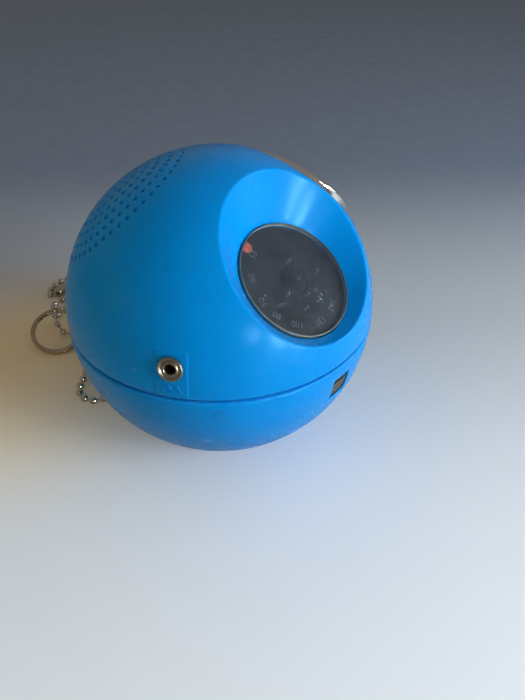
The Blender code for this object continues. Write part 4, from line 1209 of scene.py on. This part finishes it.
def volume_knob():
    profile = [(0.0, 55.38)]
    profile += [(r, crown(r, 52.2, 3.18)) for r in (2, 4, 6, 8, 10, 12, 14, 15.5, 16.8)]
    edge = crown(17.4, 52.2, 3.18)
    profile += [(17.3, edge), (17.45, edge - 0.12), (17.6, edge - 0.3), (17.9, edge - 0.3),
                (18.05, edge - 0.16)]
    profile += [(r, crown(r, 52.1, 3.15) - 0.1)
                for r in (18.3, 18.9, 19.6, 20.2, 20.8, 21.2, 21.5, 21.75, 21.9)]
    profile += [(21.98, 52.1), (21.98, 51.75)]
    profile += [(21.9, z) for z in (51.55, 51.4, 49.5, 47.6, 47.4, 47.0, 45.0, 43.2, 42.4, 42.1,
                                    41.95)]
    profile += [(21.98, 41.75), (21.98, 41.0), (21.85, 40.78), (21.6, 40.7), (20.7, 40.7),
                (20.5, 40.9), (20.5, 51.0), (6.0, 52.2), (6.0, 41.0), (3.3, 41.0), (3.3, 49.0),
                (0.0, 49.0)]
    return turned("volume_knob_fine", profile, FLUTES * 6, KNOB.matrix(), spun_chrome(),
                  sharp_angle=35, wobble=flute)


attach(volume_knob(), "knob", "chrome", "volume_knob")

# --------------------------------------------------------- earphone socket
FERRULE_LIP = [                         # (radius, height) over the rolled lip, into the bore
    (3.3, 55.24), (3.75, 55.26), (3.97, 55.5), (3.98, 55.85), (3.82, 56.18), (3.55, 56.28),
    (3.28, 56.14), (3.05, 55.86), (2.82, 55.72), (2.6, 55.8), (2.4, 56.05), (2.15, 56.2),
    (1.9, 56.1), (1.74, 55.85), (1.7, 55.5)]
ferrule_profile = ([(3.1, 51.85), (3.1, 55.2)] + smooth_profile(FERRULE_LIP, 0.09)
                   + [(1.7, 54.5), (1.7, 52.0), (1.9, 51.85)])
ferrule = turned("jack_ferrule_fine", ferrule_profile, 72, JACK.matrix(), STOCK["aged_ferrule"],
                 closed=True, sharp_angle=50)
attach(ferrule, "upper_half", "nickel", "jack_ferrule")

# Earpiece symbol moulded on the pad: two round rings and a bent cord.
BUD_X, BUD_Y = -1.5, -7.4
SYMBOL_CORD = [(-0.05, -7.4, 0), (0.9, -7.3, 0), (1.5, -6.5, 0), (2.3, -6.7, 0), (2.4, -7.7, 0),
               (3.2, -8.4, 0)]


def on_pad(x, y):
    d = JACK.on_ball(x, y, BALL_R)
    return CENTRE + d * (1 + pad_relief(d.normalized()) / BALL_R)


symbol_lines = [([on_pad(BUD_X + r * c, BUD_Y + r * s) for c, s in unit_circle(36)], True)
                for r in (1.35, 0.55)]
symbol_lines.append(([on_pad(p.x, p.y) for p in smooth_path(SYMBOL_CORD, 0.15)], False))
for number, (points, closed) in enumerate(symbol_lines, 1):
    line = sweep("socket_symbol_%d" % number, points, 0.2, BLUE, 8, closed=closed)
    attach(line, "upper_half", "blue_plastic")

# ------------------------------------------------------------------- catch
CATCH_HALF_W, CATCH_HALF_H = 3.78, 4.43
CATCH_BACK = 50.1                       # height of the flat back
CATCH_NX, CATCH_NY = 30, 72
HOLLOW_START, HOLLOW_END, HOLLOW_DEPTH = 2.75, 3.95, 1.05
RIB_HALF_W, RIB_DEPTH, RIBS = 3.2, 0.34, 5


def catch_top(x, y):
    """Height of the face: grip ribs in the middle and a hollow at each end."""
    ball = math.sqrt((BALL_R - 0.38) ** 2 - x * x - y * y)
    ax, ay = abs(x), abs(y)
    drop = 0.0
    if ay > HOLLOW_START:
        if ay > HOLLOW_END:
            drop = HOLLOW_DEPTH * max(0.0, 1 - (ay - HOLLOW_END) / 0.2)
        else:
            drop = HOLLOW_DEPTH * min(1.0, (ay - HOLLOW_START) / 0.25)
        if ax > 3.35:
            drop = 0.0
    elif ax < RIB_HALF_W:
        phase = (y + HOLLOW_START) / (2 * HOLLOW_START) * RIBS
        drop = (RIB_DEPTH * (0.5 - 0.5 * math.cos(2 * math.pi * phase))
                * min(1.0, (RIB_HALF_W - ax) / 0.3))
    edge = min(CATCH_HALF_W - ax, CATCH_HALF_H - ay)
    return ball - drop - 0.22 * max(0.0, 1 - edge / 0.25) ** 2


def catch_button():
    shell = Shell()
    nx, ny = CATCH_NX, CATCH_NY
    rims = []
    for height in (catch_top, lambda x, y: CATCH_BACK):
        grid = []
        for j in range(ny + 1):
            y = -CATCH_HALF_H + 2 * CATCH_HALF_H * j / ny
            xs = [-CATCH_HALF_W + 2 * CATCH_HALF_W * i / nx for i in range(nx + 1)]
            grid.append(shell.ring([CATCH.from_centre(x, y, height(x, y)) for x in xs]))
        for a, b in zip(grid, grid[1:]):
            shell.faces += [(a[i], a[i + 1], b[i + 1], b[i]) for i in range(nx)]
        rims.append([grid[0][i] for i in range(nx)] + [grid[j][nx] for j in range(ny)]
                    + [grid[ny][nx - i] for i in range(nx)]
                    + [grid[ny - j][0] for j in range(ny)])
    bridge(shell.faces, *rims)
    return shell.build("catch_button_fine", catch_metal(), 40)


attach(catch_button(), "catch", "steel", "catch_button")

# ----------------------------------------------------------------- eyelet
EYELET_LOOP_R, EYELET_LOOP_H = 2.4, 58.8


def chain_eyelet():
    """Straight stem out of the shell, ending in an open loop."""
    points = [EYE.world(0, 0, h) for h in (50.05, 52.0, 54.5, 56.0)]
    for k in range(41):
        a = math.radians(192 + 316 * k / 40.0)
        points.append(EYE.world(0, EYELET_LOOP_R * math.sin(a),
                                EYELET_LOOP_H + EYELET_LOOP_R * math.cos(a)))
    return sweep("chain_eyelet_fine", smooth_path(points, 0.3), 0.58, NICKEL, 14)


attach(chain_eyelet(), "lower_half", "nickel", "chain_eyelet")

# ------------------------------------------------------------------- chain
BEAD_R, LINK_R, COLLAR_R, BEAD_PITCH = 1.6, 0.42, 0.56, 4.5
SWING = joint_place("chain_swing")
ACROSS = Vector((math.cos(math.radians(EYE_TURN)), math.sin(math.radians(EYE_TURN)), 0.0))


def by_swing(across, rise):
    return SWING + ACROSS * across + Vector((0, 0, rise))


# Paths in mm in the row frame; beads that lie on the floor are at height BEAD_R.
HOOK = [by_swing(-1.7, -3.0), by_swing(-1.7, -1.2), by_swing(-0.9, 0.0), by_swing(0.9, 0.0),
        by_swing(1.7, -1.2), by_swing(1.7, -3.2)]
TO_BALL = [
    by_swing(1.7, -3.4), by_swing(1.0, -8), by_swing(0.3, -20), (28.6, 51.0, 14.0),
    (27.0, 51.2, 5.0), (22.5, 50.6, BEAD_R), (15.0, 49.6, BEAD_R), (8.5, 50.0, BEAD_R),
    (4.9, 53.3, BEAD_R), (5.0, 57.6, BEAD_R), (8.0, 61.4, BEAD_R), (12.0, 62.9, BEAD_R),
    (16.6, 62.6, BEAD_R), (25.2, 61.7, BEAD_R), (36.0, 61.0, BEAD_R), (45.0, 62.2, BEAD_R),
    (51.0, 66.2, BEAD_R), (53.0, 72.0, BEAD_R), (53.6, 76.5, 2.0), (54.6, 79.0, 6.0),
    (55.8, 79.6, 10.6), (57.4, 79.9, 13.4), (59.6, 80.3, 14.3), (61.8, 80.6, 13.2),
    (63.2, 80.9, 10.4), (64.6, 81.2, 5.8), (66.4, 81.6, 2.6)]
LOOP = [
    joint_place("tail_fold"), (71.8, 82.9, BEAD_R), (75.4, 82.0, BEAD_R), (78.2, 78.2, BEAD_R),
    (81.0, 73.0, BEAD_R), (87.0, 69.2, BEAD_R), (95.0, 69.6, BEAD_R), (101.3, 74.6, BEAD_R),
    (104.3, 82.5, BEAD_R), (103.0, 85.6, BEAD_R), (100.4, 87.9, BEAD_R), (96.9, 89.9, BEAD_R),
    (92.6, 90.8, BEAD_R), (88.6, 90.0, BEAD_R), (86.8, 87.9, 2.0)]
TAIL = [(97.4, 82.8, 2.2), (97.0, 79.2, BEAD_R), (92.5, 77.8, BEAD_R), (86.6, 80.0, BEAD_R),
        (82.3, 83.9, BEAD_R), (78.6, 85.2, BEAD_R)]


def bead_profile():
    """(distance along the chain, radius) of one bead, with a collar where the wire enters."""
    profile = [(-BEAD_R - 0.02, LINK_R), (-BEAD_R, COLLAR_R)]
    for k in range(15):
        a = math.pi * k / 14
        x, r = -1.58 * math.cos(a), 1.58 * math.sin(a)
        if r > 0.6:
            profile.append((x, r))
    return profile + [(BEAD_R, COLLAR_R), (BEAD_R + 0.02, LINK_R)]


def bead_chain(name, path, first, lead=()):
    """Beads on wire links, the first bead at this distance; lead is bare wire before it."""
    at, length = along(path)
    stations = [(p, LINK_R) for p in lead]
    count = int((length - first - BEAD_R) / BEAD_PITCH) + 1
    profile = bead_profile()
    for k in range(count):
        s = first + k * BEAD_PITCH
        stations += [(at(s + ds), r) for ds, r in profile]
        if k < count - 1:
            stations.append((at(s + BEAD_PITCH / 2), LINK_R))
    points, radii = [], []
    for p, r in stations:
        if points and (p - points[-1]).length < 1e-4:
            continue
        points.append(p)
        radii.append(r)
    return sweep(name, points, radii, BEAD_NICKEL, 16)


chain = bead_chain("chain_to_ball_fine", smooth_path(TO_BALL), 2.0, smooth_path(HOOK, 0.4))
attach(chain, "chain", "nickel", "chain_to_ball")
chain = bead_chain("chain_loop_fine", smooth_path(LOOP), 2.1)
attach(chain, "chain_tail", "nickel", "chain_loop")
chain = bead_chain("chain_end_fine", smooth_path(TAIL), 1.7)
attach(chain, "chain_tail", "nickel", "chain_end")

SLEEVE_END = [                          # (radius, distance from the middle), drawn in at the end
    (1.72, 3.88), (1.8, 3.75), (1.95, 3.5), (2.08, 3.2), (2.16, 2.8), (2.19, 2.3)]
SLEEVE_SHEET = 0.34


def chain_connector():
    """Sheet metal rolled to a tube with an open slot, both ends drawn in."""
    aim = Vector((0.93, -0.36, 0.0)).normalized().to_track_quat('Z', 'Y').to_matrix().to_4x4()
    aim.translation = Vector((91.6, 85.0, 2.4)) * MM
    outer = [(r, -z) for r, z in SLEEVE_END] + [(2.19, 0.0)] + SLEEVE_END[::-1]
    profile = outer + [(r - SLEEVE_SHEET, z * 0.985) for r, z in reversed(outer)]
    n, steps = len(profile), 44
    verts, faces, rings = [], [], []
    for k in range(steps + 1):
        a = math.radians(12 + 336 * k / steps)
        rings.append(list(range(len(verts), len(verts) + n)))
        verts += [Vector((r * math.cos(a), r * math.sin(a), z)) for r, z in profile]
    for a, b in zip(rings, rings[1:]):
        bridge(faces, a, b)
    for ring in (rings[0], rings[-1]):
        for k in range(len(outer) - 1):
            faces.append((ring[k], ring[k + 1], ring[n - 2 - k], ring[n - 1 - k]))
    return mesh_object("chain_connector_fine", verts, faces, NICKEL, 40, aim)


attach(chain_connector(), "chain_tail", "nickel", "chain_connector")

# ---------------------------------------------------------------- key ring
RING_R = 11.0
RING_STEPS = 300
COIL_RISE = 0.54                        # half the distance between the two coils


def ring_section():
    """Rounded section of the wire, as offsets outward and along the ring's axis."""
    section = []
    for x, z, start in ((0.47, 0.05, 0), (-0.47, 0.05, 90), (-0.47, -0.05, 180),
                        (0.47, -0.05, 270)):
        for k in range(6):
            a = math.radians(start + 90 * k / 5)
            section.append((x + 0.48 * math.cos(a), z + 0.48 * math.sin(a)))
    return section


def split_ring():
    """Flat wire wound nearly twice, with a step where it crosses and tapered ends."""
    tilt = (Matrix.Rotation(math.radians(99.6), 4, 'Z')
            @ Matrix.Rotation(math.radians(-25.4), 4, 'X'))
    base = (Matrix.Translation(joint_place("ring_swing") * MM) @ tilt
            @ Matrix.Translation(Vector((0, RING_R, 0)) * MM))
    section = ring_section()
    verts, faces, rings = [], [], []
    for i in range(RING_STEPS + 1):
        degrees = 20 + 660 * i / RING_STEPS
        t = min(max((degrees - 338) / 44.0, 0.0), 1.0)
        z = -COIL_RISE + 2 * COIL_RISE * t * t * (3 - 2 * t)
        a = math.radians(degrees - 120)
        end = min(1.0, (min(i, RING_STEPS - i) + 0.3) / 4.0)
        rings.append(list(range(len(verts), len(verts) + len(section))))
        for dr, dz in section:
            r = RING_R + dr * (0.75 + 0.25 * end)
            verts.append(Vector((r * math.cos(a), r * math.sin(a), z + dz * (0.6 + 0.4 * end))))
    for a, b in zip(rings, rings[1:]):
        bridge(faces, a, b)
    faces += [tuple(reversed(rings[0])), tuple(rings[-1])]
    return mesh_object("key_ring_fine", verts, faces, STOCK["ring_nickel"], 40, base)


attach(split_ring(), "ring", "nickel", "key_ring")


# ---------------------------------------------------------------- interior
def battery():
    """Bevelled block that fills the box of the frame's battery."""
    low, high = (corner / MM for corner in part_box("battery"))
    bm = bmesh.new()
    size = Matrix.Diagonal((*(high - low), 1.0))
    bmesh.ops.create_cube(bm, size=1.0, matrix=Matrix.Translation((low + high) / 2) @ size)
    bmesh.ops.bevel(bm, geom=bm.edges[:], offset=1.7, segments=5, profile=0.5, affect='EDGES')
    bmesh.ops.scale(bm, vec=(MM, MM, MM), verts=bm.verts)
    mesh = bpy.data.meshes.new("battery_fine")
    bm.to_mesh(mesh)
    bm.free()
    return smooth_object("battery_fine", mesh, battery_jacket(), 40)


attach(battery(), "upper_half", "battery_jacket", "battery")

# Frame nodes by material; every other visible node is steel.
NODE_MATERIALS = (
    (board_laminate(), ("circuit_board",)),
    (STOCK["cream_nylon"], ("tuning_capacitor", "rod_holder_1", "rod_holder_2")),
    (STOCK["turned_brass"], ("tuning_shaft", "volume_shaft", "eyelet_nut")),
    (STOCK["grille_weave"], ("grille_cloth",)),
    (STOCK["black_paper_cone"], ("speaker_cone", "dust_cap")),
    (STOCK["blue_sleeve"], ("electrolytic_1", "electrolytic_2")),
    (STOCK["black_moulding"], ("transistor_1", "transistor_2", "transistor_3", "transistor_4",
                               "battery_snap")),
    (STOCK["ferrite_grey"], ("ferrite_rod",)),
    (STOCK["copper_winding"], ("antenna_coil",)),
    (STOCK["red_pvc"], ("battery_lead_red",)),
    (STOCK["black_pvc"], ("battery_lead_black",)))
material_of = {name: material for material, names in NODE_MATERIALS for name in names}
for name, ob in frame["nodes"].items():
    if not ob.hide_render:
        ob.data.materials.clear()
        ob.data.materials.append(material_of.get(name, STOCK["zinc_steel"]))


# ------------------------------------------------------------------- floor
def floor_material():
    """Pale sheet with painted shade darkening it towards +X, and a painted warm pool of light
    where the chain lies.
    """
    m = Mat("pale_floor", colour=(0.62, 0.66, 0.70), rough=0.55)
    x = m.axis(0)
    pale = m.mix(m.cloud(3.0, span=(0.35, 0.7), detail=4.0, rough=0.6),
                 (0.50, 0.53, 0.56), (0.53, 0.56, 0.59))
    # painted warm pool of light where the chain lies, and painted shade darkening the floor
    # towards +X
    spill = m.near((30.0, 100.0, 0.0), inner=12.0, outer=105.0)
    thrown = m.mix(m.ramp(x, span=(0.0, 0.30)), pale, (0.22, 0.24, 0.28))
    thrown = m.mix(spill, thrown, (0.80, 0.60, 0.32))
    # painted light and shade: the camera sees other colours than those the floor throws back
    seen = m.mix(m.ramp(x, span=(-0.16, 0.02)), (0.92, 0.95, 0.98), (0.66, 0.70, 0.74))
    seen = m.mix(m.ramp(x, span=(0.0, 0.28)), seen, (0.20, 0.25, 0.345))
    seen = m.mix(spill, seen, (0.90, 0.71, 0.40))
    camera_ray = m.node("LightPath").outputs["Is Camera Ray"]
    m.set("Base Color", m.mix(camera_ray, thrown, seen))
    m.set("Emission Color", (0.92, 0.97, 1.0))
    # painted glow: near the camera the floor gives off light that only the camera sees
    glow = m.ramp(x, span=(-0.06, 0.06), to=(0.13, 0.0))
    m.set("Emission Strength", m.times(camera_ray, glow))
    m.set("Roughness", m.cloud(60.0, span=(0.3, 0.7), to=(0.5, 0.62)))
    m.bump(m.noise(900.0), strength=0.03, distance=0.05)
    return m.material


bm = bmesh.new()
bmesh.ops.create_grid(bm, x_segments=40, y_segments=40, size=4.0)
floor_mesh = bpy.data.meshes.new("floor")
bm.to_mesh(floor_mesh)
bm.free()
floor_mesh.materials.append(floor_material())
floor = link(bpy.data.objects.new("floor", floor_mesh))
floor.location.z = -0.0002

# -------------------------------------------------------- world and lights
WORLD_STRENGTH = 0.28
world = bpy.data.worlds.new("studio")
SCENE.world = world
world.use_nodes = True
nodes, links = world.node_tree.nodes, world.node_tree.links
coord = nodes.new("ShaderNodeTexCoord")
split = nodes.new("ShaderNodeSeparateXYZ")
sky = nodes.new("ShaderNodeValToRGB")
links.new(coord.outputs["Generated"], split.inputs[0])
links.new(split.outputs["Z"], sky.inputs["Fac"])
low_stop, high_stop = sky.color_ramp.elements
low_stop.position, low_stop.color = 0.0, (0.34, 0.30, 0.24, 1)
high_stop.position, high_stop.color = 0.75, (0.62, 0.62, 0.62, 1)
sky.color_ramp.elements.new(0.28).color = (0.85, 0.78, 0.66, 1)
links.new(sky.outputs["Color"], nodes["Background"].inputs[0])
nodes["Background"].inputs[1].default_value = WORLD_STRENGTH


def area(name, toward, distance, size, power, colour, hidden_in):
    """Area light aimed at the ball's centre; distance and size in metres."""
    d = Vector(toward).normalized()
    data = bpy.data.lights.new(name, 'AREA')
    data.shape = 'RECTANGLE'
    data.size, data.size_y = size
    data.energy = power
    data.color = colour
    ob = link(bpy.data.objects.new(name, data))
    ob.location = CENTRE * MM + d * distance
    ob.rotation_mode = 'QUATERNION'
    ob.rotation_quaternion = (-d).to_track_quat('-Z', 'Y')
    setattr(ob, "visible_" + hidden_in, False)


# soft light, unseen in reflections
area("key_window", toward=(-0.50, -0.83, 0.27), distance=0.80, size=(0.36, 0.42), power=7.6,
     colour=(0.84, 0.93, 1.0), hidden_in="glossy")
area("top_fill", toward=(-0.2, -0.4, 0.85), distance=1.4, size=(1.0, 1.0), power=1.6,
     colour=(0.9, 0.95, 1.0), hidden_in="glossy")
area("warm_side", toward=(-0.3, 0.9, 0.2), distance=1.2, size=(0.8, 0.4), power=3.0,
     colour=(1.0, 0.66, 0.32), hidden_in="glossy")
# reflections only
area("window_pane", toward=(-0.02, -0.98, 0.2), distance=0.80, size=(0.14, 0.26), power=1.1,
     colour=(0.93, 0.97, 1.0), hidden_in="diffuse")
area("window_bar_0", toward=outward(-41.0, 3.0), distance=0.62, size=(0.018, 0.14), power=1.3,
     colour=(0.9, 0.96, 1.0), hidden_in="diffuse")
area("window_bar_1", toward=outward(-54.0, 3.0), distance=0.62, size=(0.03, 0.10), power=1.5,
     colour=(0.9, 0.96, 1.0), hidden_in="diffuse")
area("window_spot", toward=(-0.93, -0.33, 0.16), distance=0.6, size=(0.04, 0.04), power=0.5,
     colour=(0.9, 0.96, 1.0), hidden_in="diffuse")

# ------------------------------------------------------------------ camera
CAMERA_PLACE = Vector((-0.1858, 0.0, 0.1769))       # metres
CAMERA_RIGHT = Vector((-0.0769, -0.997, 0.0066))
CAMERA_BACK = Vector((-0.780, 0.0643, 0.6224))      # away from the view
camera_data = bpy.data.cameras.new("camera")
camera_data.lens = 30.857
camera_data.sensor_width = 36.0
camera_data.sensor_fit = 'AUTO'
camera_data.clip_start, camera_data.clip_end = 0.01, 20.0
camera = link(bpy.data.objects.new("camera", camera_data))
back = CAMERA_BACK.normalized()
up = back.cross(CAMERA_RIGHT.normalized()).normalized()
right = up.cross(back).normalized()
pose = Matrix((right, up, back)).transposed().to_4x4()
pose.translation = CAMERA_PLACE
camera.matrix_world = pose
SCENE.camera = camera
SCENE.view_settings.view_transform = 'Standard'
